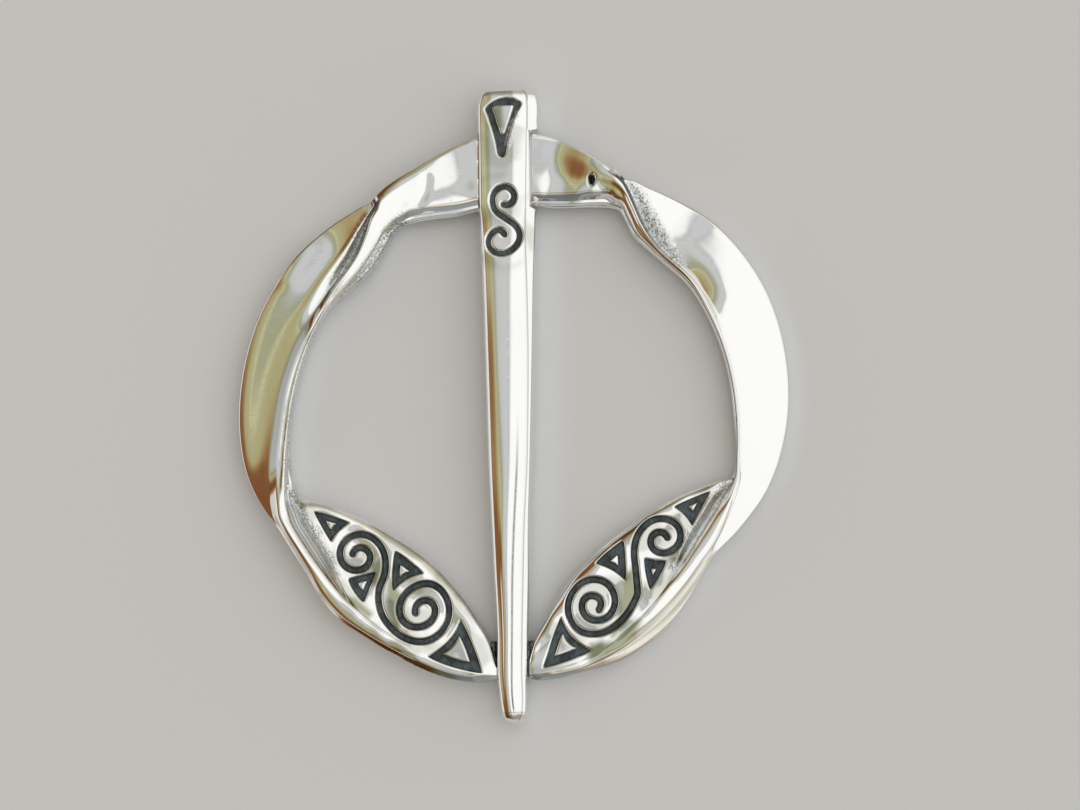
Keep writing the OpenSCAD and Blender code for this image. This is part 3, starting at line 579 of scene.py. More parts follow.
RIGHT_HEIGHTS = [
    (1, 2.40, 2.40, 2.40, 2.26, 2.04, 1.76, 1.10),
    (6, 2.455, 2.455, 2.455, 2.30, 2.06, 1.78, 1.10),
    (7.5, 2.48, 2.47, 2.47, 2.32, 2.07, 1.79, 1.10),
    (9, 2.51, 2.48, 2.475, 2.33, 2.08, 1.80, 1.10),
    (11, 2.62, 2.545, 2.50, 2.34, 2.10, 1.81, 1.10),
    (13, 2.77, 2.65, 2.55, 2.38, 2.14, 1.84, 1.08),
    (15, 2.93, 2.79, 2.635, 2.46, 2.20, 1.88, 1.02),
    (17, 3.08, 2.93, 2.735, 2.56, 2.28, 1.92, 0.95),
    (19, 3.19, 3.03, 2.80, 2.60, 2.30, 1.92, 0.85),
    (21, 3.26, 3.085, 2.835, 2.60, 2.28, 1.90, 0.75),
    (24, 3.325, 3.13, 2.86, 2.57, 2.23, 1.85, 0.50),
    (26, 3.285, 3.13, 2.87, 2.54, 2.20, 1.80, 0.30),
    (28, 3.20, 3.06, 2.84, 2.50, 2.15, 1.75, 0.20),
    (31, 3.08, 2.96, 2.78, 2.45, 2.10, 1.70, 0.08),
    (35, 2.98, 2.88, 2.74, 2.42, 2.10, 1.70, 0.00),
    (40, 2.90, 2.82, 2.72, 2.42, 2.15, 1.70, 0.00),
    (46, 2.85, 2.78, 2.70, 2.45, 2.20, 1.70, 0.00),
    (52, 2.76, 2.72, 2.64, 2.40, 2.30, 1.80, 0.00),
    (58, 2.62, 2.61, 2.55, 2.35, 2.42, 1.90, 0.00),
    (66, 2.42, 2.44, 2.40, 2.24, 2.34, 1.90, 0.00),
    (80, 2.32, 2.35, 2.31, 2.18, 2.28, 1.90, 0.00),
    (92, 2.30, 2.33, 2.29, 2.16, 2.25, 1.90, 0.00),
    (102, 2.32, 2.35, 2.31, 2.16, 2.20, 1.80, 0.00),
    (108, 2.40, 2.43, 2.38, 2.00, 1.90, 1.50, 0.00),
    (111, 2.48, 2.52, 2.45, 1.75, 2.05, 1.85, 0.00),
    (115, 2.55, 2.58, 2.50, 1.40, 2.30, 2.10, 0.00),
    (120, 2.58, 2.60, 2.52, 1.30, 2.38, 2.20, 0.00),
    (125.5, 2.56, 2.58, 2.50, 1.35, 2.40, 2.20, 0.00),
    (130, 2.52, 2.55, 2.48, 1.60, 2.40, 2.20, 0.00),
    (136, 2.46, 2.50, 2.45, 2.10, 2.40, 2.20, 0.00),
    (143, 2.42, 2.45, 2.43, 2.38, 2.42, 2.20, 0.00),
    (150, 2.40, 2.43, 2.42, 2.40, 2.42, 2.20, 0.00),
    (156, 2.38, 2.41, 2.40, 2.40, 2.40, 2.20, 0.00),
    (161, 2.37, 2.39, 2.38, 2.38, 2.38, 2.20, 0.00),
    (166, 2.34, 2.37, 2.36, 2.36, 2.36, 2.18, 0.00),
    (171, 2.30, 2.34, 2.34, 2.34, 2.34, 2.12, 0.00),
    (175, 2.26, 2.30, 2.30, 2.30, 2.30, 2.08, 0.00),
    (177.3, 2.16, 2.20, 2.22, 2.22, 2.22, 2.00, 0.00),
]
# How broad the rounding of the inner edge is, and how far the back lies inside the edges, at most
LIP = 0.26
UNDERCUT = 0.4
# Steps of the mesh between the section's points, and the points where the section has a corner
SECTION_STEPS = [1, 3, 3, 4, 4, 4, 4, 4, 5, 4, 4, 6, 6, 4, 5, 48, 48, 5, 3, 2, 1]
SECTION_CORNERS = (0, 2, 9, 14, 15, 19, 20)
# The sections stand closer on the folds and on the plates. Columns: up to this angle, step
SECTION_ANGLES = ((14, 0.6), (38, 0.3), (108, 0.8), (180, 0.2))
# Painted shade and dark painted reflections along the edges and in the creases of the casting. Columns:
# angle, then how dark the outer edge, the foot, the strip's shoulder, the cleft and the inner edge are
# painted
LEFT_PAINTED_SHADE = [
    (2, 0.3, 0.0, 0.0, 0.0, 0.7),
    (24, 0.3, 0.0, 0.0, 0.2, 0.7),
    (32, 0.6, 0.2, 0.0, 0.2, 0.3),
    (34, 1.0, 1.0, 0.6, 0.1, 0.3),
    (36, 0.8, 0.6, 0.5, 0.0, 0.3),
    (40, 0.5, 0.55, 0.4, 0.0, 0.3),
    (56, 0.4, 0.5, 0.3, 0.0, 0.3),
    (66, 0.4, 0.4, 0.0, 0.0, 0.3),
    (100, 0.4, 0.3, 0.0, 0.1, 0.3),
    (108, 0.5, 0.2, 0.0, 0.2, 0.3),
    (115, 0.5, 0.3, 0.0, 0.3, 0.3),
    (130, 0.6, 0.2, 0.0, 0.35, 0.3),
    (136, 0.6, 0.1, 0.0, 0.3, 0.3),
    (142, 0.6, 0.1, 0.0, 0.0, 0.4),
    (176.5, 0.6, 0.1, 0.0, 0.0, 0.5),
]
RIGHT_PAINTED_SHADE = [
    (1, 0.3, 0.0, 0.0, 0.0, 0.7),
    (20, 0.4, 0.0, 0.0, 0.2, 0.7),
    (26, 0.6, 0.8, 0.7, 0.2, 0.6),
    (31, 0.4, 0.7, 0.6, 0.5, 0.6),
    (46, 0.3, 0.4, 0.3, 0.8, 0.6),
    (60, 0.3, 0.1, 0.0, 0.9, 0.6),
    (104, 0.2, 0.0, 0.0, 0.9, 0.6),
    (109, 0.2, 0.0, 0.0, 0.5, 0.4),
    (115, 0.2, 0.0, 0.2, 0.3, 0.3),
    (130, 0.2, 0.2, 0.2, 0.3, 0.3),
    (137, 0.2, 0.3, 0.2, 0.3, 0.3),
    (143, 0.2, 0.2, 0.1, 0.1, 0.4),
    (177.3, 0.4, 0.1, 0.0, 0.0, 0.5),
]
# Where those creases lie, counted in points along the section. Columns: start, dark from, dark to, end
CREASES = [
    (0.9, 1.2, 2.02, 2.3),
    (8.55, 8.9, 9.9, 10.6),
    (9.6, 10.1, 10.5, 10.95),
    (13.3, 13.8, 14.6, 15.1),
    (18.2, 18.8, 19.9, 20.2),
]
# Angles where the blade comes out from under the folded ribbon. A line of painted shade lies there, under
# the fold: where it starts, is dark and ends, in degrees past that angle and in points along the section
FOLDS = {LEFT: 33.9, RIGHT: 25.3}
FOLD_SHADE_ALONG = (-0.5, -0.1, 0.3, 0.8)
FOLD_SHADE_ACROSS = (0.5, 1, 9, 9.8)


def curved(a, b, leave, arrive, t):
    """A smooth curve from a to b with the given slopes at its ends, at the part t of the way."""
    return (a * (1 + 2 * t) * (1 - t) ** 2 + b * t * t * (3 - 2 * t)
            + leave * t * (1 - t) ** 2 - arrive * t * t * (1 - t))


def smooth_columns(rows, at):
    """Every column of a table on a smooth curve through its rows, at places of its first column."""
    rows = np.asarray(rows, float)
    x = rows[:, 0]
    slope = np.vstack([
        (rows[1] - rows[0]) / (x[1] - x[0]),
        (rows[2:] - rows[:-2]) / (x[2:] - x[:-2])[:, None],
        (rows[-1] - rows[-2]) / (x[-1] - x[-2]),
    ])
    i = np.clip(np.searchsorted(x, at, side="right") - 1, 0, len(x) - 2)
    step = (x[i + 1] - x[i])[:, None]
    t = ((at - x[i]) / step[:, 0])[:, None]
    return curved(rows[i], rows[i + 1], step * slope[i], step * slope[i + 1], t)


def mix(a, b, t):
    """The value at the part t of the way from a to b."""
    return a + (b - a) * t


def blade_heights(rows, width, angles):
    """Heights across the blade, which falls outwards least in its middle, and the height of its foot."""
    _, crest, outer, least, inner, foot = smooth_columns(rows, angles).T
    parts = np.array(BLADE_PARTS)[:, None]
    last, middle = BLADE_PARTS[-1], BLADE_FLATTEST
    rise = (inner - least) * (last - middle) / 3
    fall = np.where(
        parts < middle,
        (outer - least) * middle / 3 * ((middle - parts) / middle) ** 3 + rise,
        rise * (1 - ((parts - middle) / (last - middle)) ** 3))
    return crest - width * (fall + least * (last - parts)), foot


def ring_sections(plan, blade, heights, angles):
    """Points of the section at each angle, as distances from the centre and heights."""
    _, out, foot, ridge_out, ridge_in, cleft, plate, inner = smooth_columns(plan, angles).T
    _, z_shoulder, z_middle, z_ridge, z_cleft, z_plate, z_in, z_back = smooth_columns(heights, angles).T
    z_blade, z_foot = blade_heights(blade, out - foot, angles)
    z_back = np.maximum(0, z_back)
    lip = np.minimum(LIP, 0.4 * (plate - inner))
    under = np.minimum(UNDERCUT, 0.15 * (out - inner))
    return np.array([
        (out - under / 2, z_back),
        (out, mix(z_back, z_blade[0], 0.6)),
        *[(mix(out, foot, part), z) for part, z in zip(BLADE_PARTS, z_blade)],
        (foot, z_foot),
        (ridge_out, mix(z_foot, z_shoulder, 0.8)),
        (mix(ridge_out, ridge_in, 0.15), z_shoulder),
        (mix(ridge_out, ridge_in, 0.55), z_middle),
        (ridge_in, z_ridge),
        (cleft, z_cleft),
        (plate, z_plate),
        (mix(plate, inner, 0.5), mix(z_plate, z_in, 0.2)),
        (inner + lip, z_in),
        (inner + 0.1 * lip, z_in - 1.1 * lip),
        (inner, mix(z_back, z_in, 0.4)),
        (inner + under, z_back),
    ]).transpose(2, 0, 1)


def section_angles(first, last):
    """Angles of the mesh's sections between the first and the last row of a side's tables."""
    stretches = []
    for end, step in SECTION_ANGLES:
        stretches.append(np.arange(first, min(end, last), step))
        first = end
    return np.concatenate([*stretches, [last]])


def rounded(loops, steps, corners):
    """Closed loops of points made finer on smooth curves that break at the corners."""
    count = loops.shape[1]
    ahead = np.roll(loops, -1, 1) - loops
    length = np.linalg.norm(ahead, axis=2, keepdims=True) + 1e-9
    before, before_length = np.roll(ahead, 1, 1), np.roll(length, 1, 1)
    way = (before / before_length * length + ahead / length * before_length) / (length + before_length)
    fine, place = [], []
    for k in range(count):
        after = (k + 1) % count
        leave = ahead[:, k] if k in corners else way[:, k] * length[:, k]
        arrive = ahead[:, k] if after in corners else way[:, after] * length[:, k]
        for step in range(steps[k]):
            t = step / steps[k]
            fine.append(curved(loops[:, k], loops[:, after], leave, arrive, t))
            place.append(k + t)
    return np.stack(fine, 1), np.array(place)


def loft_faces(sections, around, turned=False):
    """Faces of a closed loft through sections of the same number of points, with flat ends."""
    faces = []
    for start in range(0, (sections - 1) * around, around):
        for k in range(around):
            a, b = start + k, start + (k + 1) % around
            faces.append((a, b, b + around, a + around))
    faces.append(tuple(range(around - 1, -1, -1)))
    faces.append(tuple(range((sections - 1) * around, sections * around)))
    return [face[::-1] for face in faces] if turned else faces


def cut_off(thing, x, side, end):
    """Cuts the upper (end 1) or lower (end -1) end of a ring's side off square at x and closes it."""
    shape = bmesh.new()
    shape.from_mesh(thing.data)
    verts = [v for v in shape.verts if v.co.y * end > 0]
    edges = [e for e in shape.edges if all(v.co.y * end > 0 for v in e.verts)]
    faces = [f for f in shape.faces if all(v.co.y * end > 0 for v in f.verts)]
    cut = bmesh.ops.bisect_plane(shape, geom=verts + edges + faces, plane_co=(x * MM, 0, 0),
                                 plane_no=(-side, 0, 0), clear_outer=True)["geom_cut"]
    edges = [e for e in cut if isinstance(e, bmesh.types.BMEdge) and e.is_boundary]
    bmesh.ops.edgeloop_fill(shape, edges=edges)
    bmesh.ops.recalc_face_normals(shape, faces=shape.faces)
    shape.to_mesh(thing.data)
    shape.free()


def turned_to_ring(x, y):
    """Places in the ring's own plan, turned the way the ring lies."""
    c, s = math.cos(RING_TURN), math.sin(RING_TURN)
    return c * x - s * y, s * x + c * y


def crease(place, row):
    """1 where a section's points lie in a crease, fading out towards both its borders."""
    return np.interp(place, row, (0, 1, 1, 0))


def darken(thing, dark):
    """Stores how dark the painted shade is at each point of an object."""
    film = thing.data.attributes.new("painted_shade", "FLOAT", "POINT")
    film.data.foreach_set("value", np.clip(dark, 0, 1).ravel().astype(np.float32))


side_points, side_dark = {}, {}
for side, plan, blade, heights, painted_shade in (
    (LEFT, LEFT_PLAN, LEFT_BLADE, LEFT_HEIGHTS, LEFT_PAINTED_SHADE),
    (RIGHT, RIGHT_PLAN, RIGHT_BLADE, RIGHT_HEIGHTS, RIGHT_PAINTED_SHADE),
):
    angles = section_angles(plan[0][0], plan[-1][0])
    loops, place = rounded(ring_sections(plan, blade, heights, angles), SECTION_STEPS, SECTION_CORNERS)
    creases = np.array([crease(place, row) for row in CREASES])
    # Painted shade under the fold, which is added to the painted shade along the edges and creases
    fold_shade = crease(angles - FOLDS[side], FOLD_SHADE_ALONG)[:, None] * crease(place, FOLD_SHADE_ACROSS)
    side_dark[side] = smooth_columns(painted_shade, angles)[:, 1:] @ creases + fold_shade
    out, turn = loops[:, :, 0], np.radians(angles)[:, None]
    x, y = turned_to_ring(side * out * np.sin(turn), out * np.cos(turn))
    side_points[side] = np.stack([x, y, np.clip(loops[:, :, 1], 0, RING_TOP)], 2)

# The ring is stretched by a hair to its real width
reach = {side: side * (side * points[:, :, 0]).max() for side, points in side_points.items()}
ring_stretch = (RING_SIDES[1] - RING_SIDES[0]) / (reach[RIGHT] - reach[LEFT])
ring_x = RING_SIDES[0] - reach[LEFT] * ring_stretch

ring_sides = {}
for side, name in ((LEFT, "ring_left"), (RIGHT, "ring_right")):
    points = side_points[side] * (ring_stretch, 1, 1) + (ring_x, RING_Y, 0)
    sections, around = points.shape[:2]
    faces = loft_faces(sections, around, turned=side == RIGHT)
    ring_sides[side] = mesh_object(name, points.reshape(-1, 3), faces, ring_silver)
    darken(ring_sides[side], side_dark[side])
    cut_off(ring_sides[side], GAP[side], side, 1)
    cut_off(ring_sides[side], SEAT[side], side, -1)


# The ornament of the ring
# A double scroll and four triangles with a raised island are sunk into each plate and blackened. The
# casting leaves rough hollows in the clefts, and a pocket and dents where the ribbons fold. With its
# ornament, each side is a finished piece.

# A scroll is one groove along a path of two spirals. Each has its centre, then rows of an angle and a
# distance from it
LEFT_SCROLL = [
    ((-12.85, -12.15), [
        (516, 0.46), (470, 0.62), (424, 0.78), (356, 1.06), (305, 1.14), (258, 1.20), (210, 1.36),
        (170, 1.50), (130, 1.66), (90, 1.78), (30, 2.02), (-15, 2.40), (-42, 2.84)]),
    ((-7.35, -16.75), [
        (153, 4.19), (180, 3.58), (206, 3.00), (238, 2.64), (278, 2.38), (329, 2.06), (383, 2.11),
        (436, 2.33), (479, 2.18), (527, 2.10), (566, 1.87), (614, 1.29), (650, 1.02), (697, 0.89),
        (774, 0.97), (847, 0.88), (909, 0.74)]),
]
RIGHT_SCROLL = [
    ((12.15, -11.0), [
        (-330, 0.45), (-281, 0.58), (-236, 0.76), (-198, 0.90), (-156, 1.02), (-121, 1.06), (-82, 1.09),
        (-45, 1.20), (-12, 1.38), (38, 1.68), (95, 1.76), (144, 1.88), (169, 2.04), (188, 2.25),
        (204, 2.52), (221, 2.96), (234, 3.55)]),
    ((6.4, -16.4), [
        (15.8, 3.90), (-1.2, 3.23), (-32, 2.57), (-77, 2.28), (-121, 2.20), (-165, 2.00), (-214, 1.96),
        (-258, 2.17), (-297, 2.25), (-337, 2.02), (-378, 1.68), (-430, 1.22), (-465, 1.02), (-511, 0.86),
        (-557, 0.84), (-597, 0.90), (-673, 0.88), (-712, 0.76), (-745, 0.62)]),
]
# Triangles: the corners, how far each side bows out, and the island's corners as a part of the way
# from the middle to the triangle's corners
LEFT_FIELDS = [
    ([(-16.50, -8.42), (-15.05, -11.00), (-13.50, -9.40)], (0.05, -0.20, 0.05), 0.30),
    ([(-13.65, -14.02), (-12.35, -15.95), (-11.30, -13.50)], (0.15, 0.00, 0.05), 0.31),
    ([(-9.75, -11.75), (-9.95, -15.02), (-7.38, -13.62)], (0.12, -0.28, 0.08), 0.31),
    ([(-4.36, -17.40), (-7.10, -20.42), (-2.60, -21.80)], (-0.42, 0.20, 0.15), 0.50),
]
RIGHT_FIELDS = [
    ([(16.05, -7.02), (13.05, -8.30), (14.55, -9.85)], (0.05, -0.20, 0.05), 0.23),
    ([(12.50, -12.72), (10.65, -12.45), (11.15, -15.08)], (-0.05, 0.10, 0.10), 0.20),
    ([(8.98, -10.98), (6.65, -12.90), (9.15, -14.30)], (0.10, -0.22, 0.08), 0.27),
    ([(3.85, -17.20), (2.36, -21.42), (6.42, -19.96)], (0.05, 0.12, -0.45), 0.44),
]
# Lands painted with an olive reflection, as outlines in the ring's plan
LEFT_REFLECTIONS = [
    [(-10.22, -13.90), (-9.63, -14.96), (-9.05, -15.89), (-9.20, -17.53), (-9.70, -18.30), (-10.30, -16.60),
     (-10.35, -15.19)],
    [(-11.60, -12.90), (-10.95, -12.40), (-10.60, -13.80), (-11.00, -15.00), (-11.55, -14.40)],
    [(-14.10, -15.30), (-13.20, -16.20), (-11.90, -17.10), (-11.75, -16.90), (-13.00, -15.70)],
]
RIGHT_REFLECTIONS = [
    [(9.00, -14.45), (9.75, -13.30), (9.92, -15.60), (9.12, -17.90), (8.08, -18.83), (8.66, -17.20),
     (8.89, -15.60)],
    [(6.30, -19.52), (8.31, -19.35), (9.72, -17.75), (10.30, -17.60), (9.80, -18.73), (7.62, -20.24),
     (6.30, -20.70)],
    [(13.80, -10.90), (14.50, -11.20), (13.90, -12.60), (13.10, -12.90), (12.90, -12.60), (13.60, -12.00)],
]
# Hollows that stayed rough. Columns: angle, then the distances of the inner and the outer border
LEFT_HOLLOWS = [
    [(30, 17.7, 18.6), (34, 17.5, 18.5), (38, 17.1, 17.9), (40, 16.8, 17.7), (45, 16.4, 17.3),
     (50, 16.4, 17.1), (56, 16.9, 17.25), (70, 17.7, 17.95), (90, 18.4, 18.65), (100, 18.9, 19.2),
     (106, 19.1, 19.6)],
    [(37, 19.9, 20.3), (40, 19.4, 19.9), (44, 18.7, 19.4), (48, 18.3, 18.9), (52, 18.2, 18.7),
     (57, 18.2, 18.45)],
    [(109, 19.2, 20.0), (115, 19.2, 20.0), (123, 19.1, 19.8), (129, 19.3, 19.9), (134, 19.9, 20.3)],
]
RIGHT_HOLLOWS = [
    [(27, 20.5, 21.0), (29, 19.9, 20.9), (31, 19.3, 20.7), (35, 18.5, 19.9), (40, 17.9, 19.2),
     (46, 17.7, 18.5), (50, 17.8, 18.1)],
    [(110, 18.2, 18.8), (115, 17.7, 18.4), (120, 17.6, 18.3), (126, 17.6, 18.2), (131, 17.9, 18.4),
     (136, 18.5, 18.8)],
]
# A small pocket that the right fold left open, and dents beside the folds. Columns: angle, distance
LEFT_POCKETS = []
# The pocket is sunk and blackened like the grooves, which paints the shade in the hole black, and it gets
# the painted olive reflection
RIGHT_POCKETS = [
    [(18.1, 19.95), (18.5, 20.15), (19.3, 20.1), (19.9, 19.8), (19.8, 19.4), (19.1, 19.35), (18.6, 19.6)],
]
LEFT_DENTS = [(21.0, 20.3), (22.5, 19.4), (24.5, 18.7), (27.5, 18.5), (29.5, 18.8)]
RIGHT_DENTS = [(21.4, 19.5), (22.4, 19.3), (23.6, 19.2)]
# Heights are above the back
PLATE_SIZES = {
    "Groove width": 0.53, "Wall width": 0.12, "Floor height": 2.0, "Lowest face": 1.9,
    "Roughness height": 0.07, "Dent width": 0.75, "Dent depth": 0.05, "Land swell": 0.28,
}
# A point nearer than this to a plan's face lies inside its outline
TOUCHING = 0.002
# Lumps of the sunk floors, and how broad and deep the rims of the grooves are rounded
FLOOR_LUMPS = 0.12
RIM_WIDTH = 0.13
RIM_DEPTH = 0.03
# A land swells fully up to the first distance from a groove, and not at all past the second
LAND = (0.6, 1.6)
# A hollow and a land's painted reflection fade out between these distances from their outline, from inside
# to outside
HOLLOW_EDGE = (-0.6, 0.45)
REFLECTION_EDGE = (-0.2, 0.5)
# Dents lie above this height, in the ribbon's face, and rough hollows above the next, off the back
DENTS_ABOVE = 1.5
HOLLOWS_ABOVE = 0.6
# Noise of the floors' lumps, of the lands' swell and of the hollows' bumps, as in the silver
FLOOR_NOISE = (3.2, 3.0)
SWELL_NOISE = (0.42, 0.0)
BUMP_NOISE = (2.2, 2.0)
# The swell at which a faint painted reflection begins and is full, and how strong it is
FAINT_REFLECTION_EDGE = (0.42, 0.58)
FAINT_REFLECTION_SHARE = 0.4
# A hollow's bumps stand up where their noise is past this, and it throws off this much blackening
BUMP_LEVEL = 0.55
HOLLOW_BARE = 0.75
# How far apart the points of a line on a plan are, and how many passes soften its corners
SCROLL_POINTS = (0.1, 7)
OUTLINE_POINTS = (0.06, 9)
DENT_POINTS = (0.1, 8)
# Before that, the degrees between the points of a spiral, and the points along a side of an outline
SPIRAL_STEP = 4.0
SIDE_POINTS = 10


def evened(path, spacing, passes, closed=False):
    """Points evenly spaced along a path, its corners softened."""
    if closed:
        path = np.vstack([path, path[:1]])
    run = np.concatenate([[0], np.cumsum(np.linalg.norm(np.diff(path, axis=0), axis=1))])
    at = np.linspace(0, run[-1], int(run[-1] / spacing) + 1)
    path = np.stack([np.interp(at, run, path[:, k]) for k in (0, 1)], 1)
    if closed:
        path = path[:-1]
    for _ in range(passes):
        around = (np.roll(path, 1, 0) + 2 * path + np.roll(path, -1, 0)) / 4
        if not closed:
            around[[0, -1]] = path[[0, -1]]
        path = around
    return path


def scroll_path(spirals):
    """Points along a smooth curve that winds round both spirals' centres."""
    arcs = []
    for (centre_x, centre_y), rows in spirals:
        way = 1 if rows[-1][0] > rows[0][0] else -1
        at = np.arange(rows[0][0], rows[-1][0], way * SPIRAL_STEP)
        out = smooth_columns([(way * a, r) for a, r in rows], way * at)[:, 1]
        turn = np.radians(at)
        arcs.append(np.stack([centre_x + out * np.cos(turn), centre_y + out * np.sin(turn)], 1))
    return evened(np.concatenate(arcs), *SCROLL_POINTS)


def bowed_outline(corners, bows):
    """Outline whose sides bow outwards by the given distances, its corners rounded."""
    outline = []
    for k in range(len(corners)):
        a, b = np.array(corners[k], float), np.array(corners[(k + 1) % len(corners)], float)
        run = (b - a) / np.linalg.norm(b - a)
        for t in np.arange(SIDE_POINTS) / SIDE_POINTS:
            outline.append(mix(a, b, t) + np.array((run[1], -run[0])) * bows[k] * 4 * t * (1 - t))
    return evened(np.array(outline), *OUTLINE_POINTS, closed=True)


def in_polar(rows, side):
    """Places in the ring's plan of rows of an angle and a distance."""
    return np.array([(side * r * math.sin(math.radians(a)), r * math.cos(math.radians(a))) for a, r in rows])


def hollow_outline(rows, side):
    """Outline of a hollow given by angles and the distances of its two borders."""
    return in_polar([(a, inner) for a, inner, _ in rows] + [(a, outer) for a, _, outer in rows[::-1]], side)


def in_ring(points):
    """Places in the ring's own plan, brought to where the ring lies, in millimetres."""
    points = np.asarray(points, float)
    x, y = turned_to_ring(points[:, 0], points[:, 1])
    return np.stack([x * ring_stretch + ring_x, y + RING_Y, np.zeros(len(x))], 1)


def flat_shapes(outlines, where):
    """Flat faces that mark places on a plan."""
    points, faces = [], []
    for outline in outlines:
        faces.append(tuple(range(len(points), len(points) + len(outline))))
        points += list(where(outline))
    return mesh_object("plan", points, faces)


def path_shape(path, where):
    """A path on a plan."""
    return mesh_object("plan", where(path), [], edges=[(k, k + 1) for k in range(len(path) - 1)])


def sunk_ornament_tree():
    """Nodes that sink an ornament into an upward face, and mark where it is black, rough and painted with an
    olive reflection.
    """
    tree = bpy.data.node_groups.new("Sunk ornament", "GeometryNodeTree")
    sockets = {}
    for name, kind in (
        ("Geometry", "Geometry"), ("Scroll", "Object"), ("Fields", "Object"), ("Islands", "Object"),
        ("Hollows", "Object"), ("Tones", "Object"), ("Dents", "Object"), ("Groove width", "Float"),
        ("Wall width", "Float"), ("Floor height", "Float"), ("Lowest face", "Float"),
        ("Roughness height", "Float"), ("Dent width", "Float"), ("Dent depth", "Float"),
        ("Land swell", "Float"), ("Silver", "Material"),
    ):
        made = tree.interface.new_socket(name=name, in_out="INPUT", socket_type="NodeSocket" + kind)
        sockets[name] = made.identifier
    tree.interface.new_socket(name="Geometry", in_out="OUTPUT", socket_type="NodeSocketGeometry")
    nodes = Nodes(tree)
    outputs = {socket.identifier: socket for socket in nodes.node("NodeGroupInput").outputs}
    given = {name: outputs[identifier] for name, identifier in sockets.items()}
    position = nodes.node("GeometryNodeInputPosition").outputs[0]
    x, y, z = nodes.node("ShaderNodeSeparateXYZ", Vector=position).outputs
    from_above = nodes.node("ShaderNodeCombineXYZ", X=x, Y=y).outputs[0]

    def distance(name, element):
        """How far a point lies from the faces or edges of a plan, seen from above."""
        plan = nodes.node("GeometryNodeObjectInfo", Object=given[name]).outputs["Geometry"]
        near = nodes.node("GeometryNodeProximity", target_element=element, Sample_Position=from_above)
        nodes.fill(near.inputs[0], plan)
        return near.outputs["Distance"]

    def signed(name):
        """How far a point lies from the outlines of a plan, below 0 inside them."""
        outside, edge = distance(name, "FACES"), distance(name, "EDGES")
        inside = nodes.maths("LESS_THAN", outside, TOUCHING * MM)
        return nodes.less(outside, nodes.product(inside, edge))

    def within(distance, full, none):
        """1 up to a distance in millimetres, fading to 0 at another."""
        return nodes.less(1.0, nodes.ramp(distance, full * MM, none * MM))

    scroll = nodes.less(distance("Scroll", "EDGES"), nodes.product(given["Groove width"], 0.5))
    fields = nodes.maths("MAXIMUM", signed("Fields"), nodes.product(signed("Islands"), -1.0))
    beyond = nodes.maths("MINIMUM", scroll, fields)
    upward = nodes.maths("GREATER_THAN", z, given["Lowest face"])
    # 0 on the face, 1 on the sunk floor, which is lumpy. Most of the wall lies inside the outline
    wall = given["Wall width"]
    sunk = nodes.less(1.0, nodes.ramp(beyond, nodes.product(wall, -0.75), nodes.product(wall, 0.25)))
    sunk = nodes.product(sunk, upward)
    lumps = nodes.product(nodes.less(nodes.noise(position, *FLOOR_NOISE), 0.5), FLOOR_LUMPS * MM)
    drop = nodes.product(sunk, nodes.less(nodes.total(given["Floor height"], lumps), z))
    # Rims of the grooves are a little rounded by the polish
    face = nodes.product(nodes.less(1.0, sunk), upward)
    drop = nodes.total(drop, nodes.product(within(beyond, 0.0, RIM_WIDTH), face, -RIM_DEPTH * MM))
    # The plates' lands between the grooves swell a little
    swell = nodes.noise(position, *SWELL_NOISE)
    near = within(beyond, *LAND)
    plate = nodes.maths("LESS_THAN", y, 0.0)
    drop = nodes.total(drop, nodes.product(nodes.less(swell, 0.5), near, given["Land swell"], plate, face))
    # Dents where the ribbon was folded, in its face alone
    dented = nodes.less(1.0, nodes.ramp(distance("Dents", "EDGES"), 0.0, given["Dent width"]))
    dented = nodes.product(dented, nodes.maths("GREATER_THAN", z, DENTS_ABOVE * MM))
    drop = nodes.less(drop, nodes.product(dented, given["Dent depth"]))
    # Rough hollows of the casting, which end above the back
    hollow = within(signed("Hollows"), *HOLLOW_EDGE)
    hollow = nodes.product(hollow, nodes.maths("GREATER_THAN", z, HOLLOWS_ABOVE * MM))
    bumps = nodes.less(nodes.noise(position, *BUMP_NOISE), BUMP_LEVEL)
    bumps = nodes.product(bumps, given["Roughness height"], 2.0)
    drop = nodes.total(drop, nodes.product(hollow, bumps))
    # Painted olive reflections on the listed lands, and fainter ones where the lands swell
    reflecting = within(signed("Tones"), *REFLECTION_EDGE)
    faint_reflection = nodes.product(nodes.ramp(swell, *FAINT_REFLECTION_EDGE), near, FAINT_REFLECTION_SHARE)

    geometry = given["Geometry"]
    for name, value in (
        ("oxide", nodes.product(sunk, nodes.less(1.0, nodes.product(hollow, HOLLOW_BARE)))),
        ("rough", hollow),
        ("tone", nodes.product(nodes.maths("MAXIMUM", reflecting, faint_reflection), upward)),
    ):
        stored = nodes.node("GeometryNodeStoreNamedAttribute", Geometry=geometry, Name=name, Value=value)
        geometry = stored.outputs[0]
    offset = nodes.node("ShaderNodeCombineXYZ", Z=drop).outputs[0]
    geometry = nodes.node("GeometryNodeSetPosition", Geometry=geometry, Offset=offset).outputs[0]
    geometry = nodes.node("GeometryNodeSetShadeSmooth", Geometry=geometry).outputs[0]
    geometry = nodes.node("GeometryNodeRealizeInstances", Geometry=geometry).outputs[0]
    geometry = nodes.node("GeometryNodeSetMaterial", Geometry=geometry, Material=given["Silver"]).outputs[0]
    nodes.fill(nodes.node("NodeGroupOutput").inputs[0], geometry)
    return tree, sockets


ornament_tree, ornament_sockets = sunk_ornament_tree()


def made_plain(thing):
    """Gives an object the mesh that its modifiers make, and takes them off."""
    made = bpy.data.meshes.new_from_object(thing.evaluated_get(bpy.context.evaluated_depsgraph_get()))
    thing.modifiers.clear()
    old, thing.data = thing.data, made
    bpy.data.meshes.remove(old)


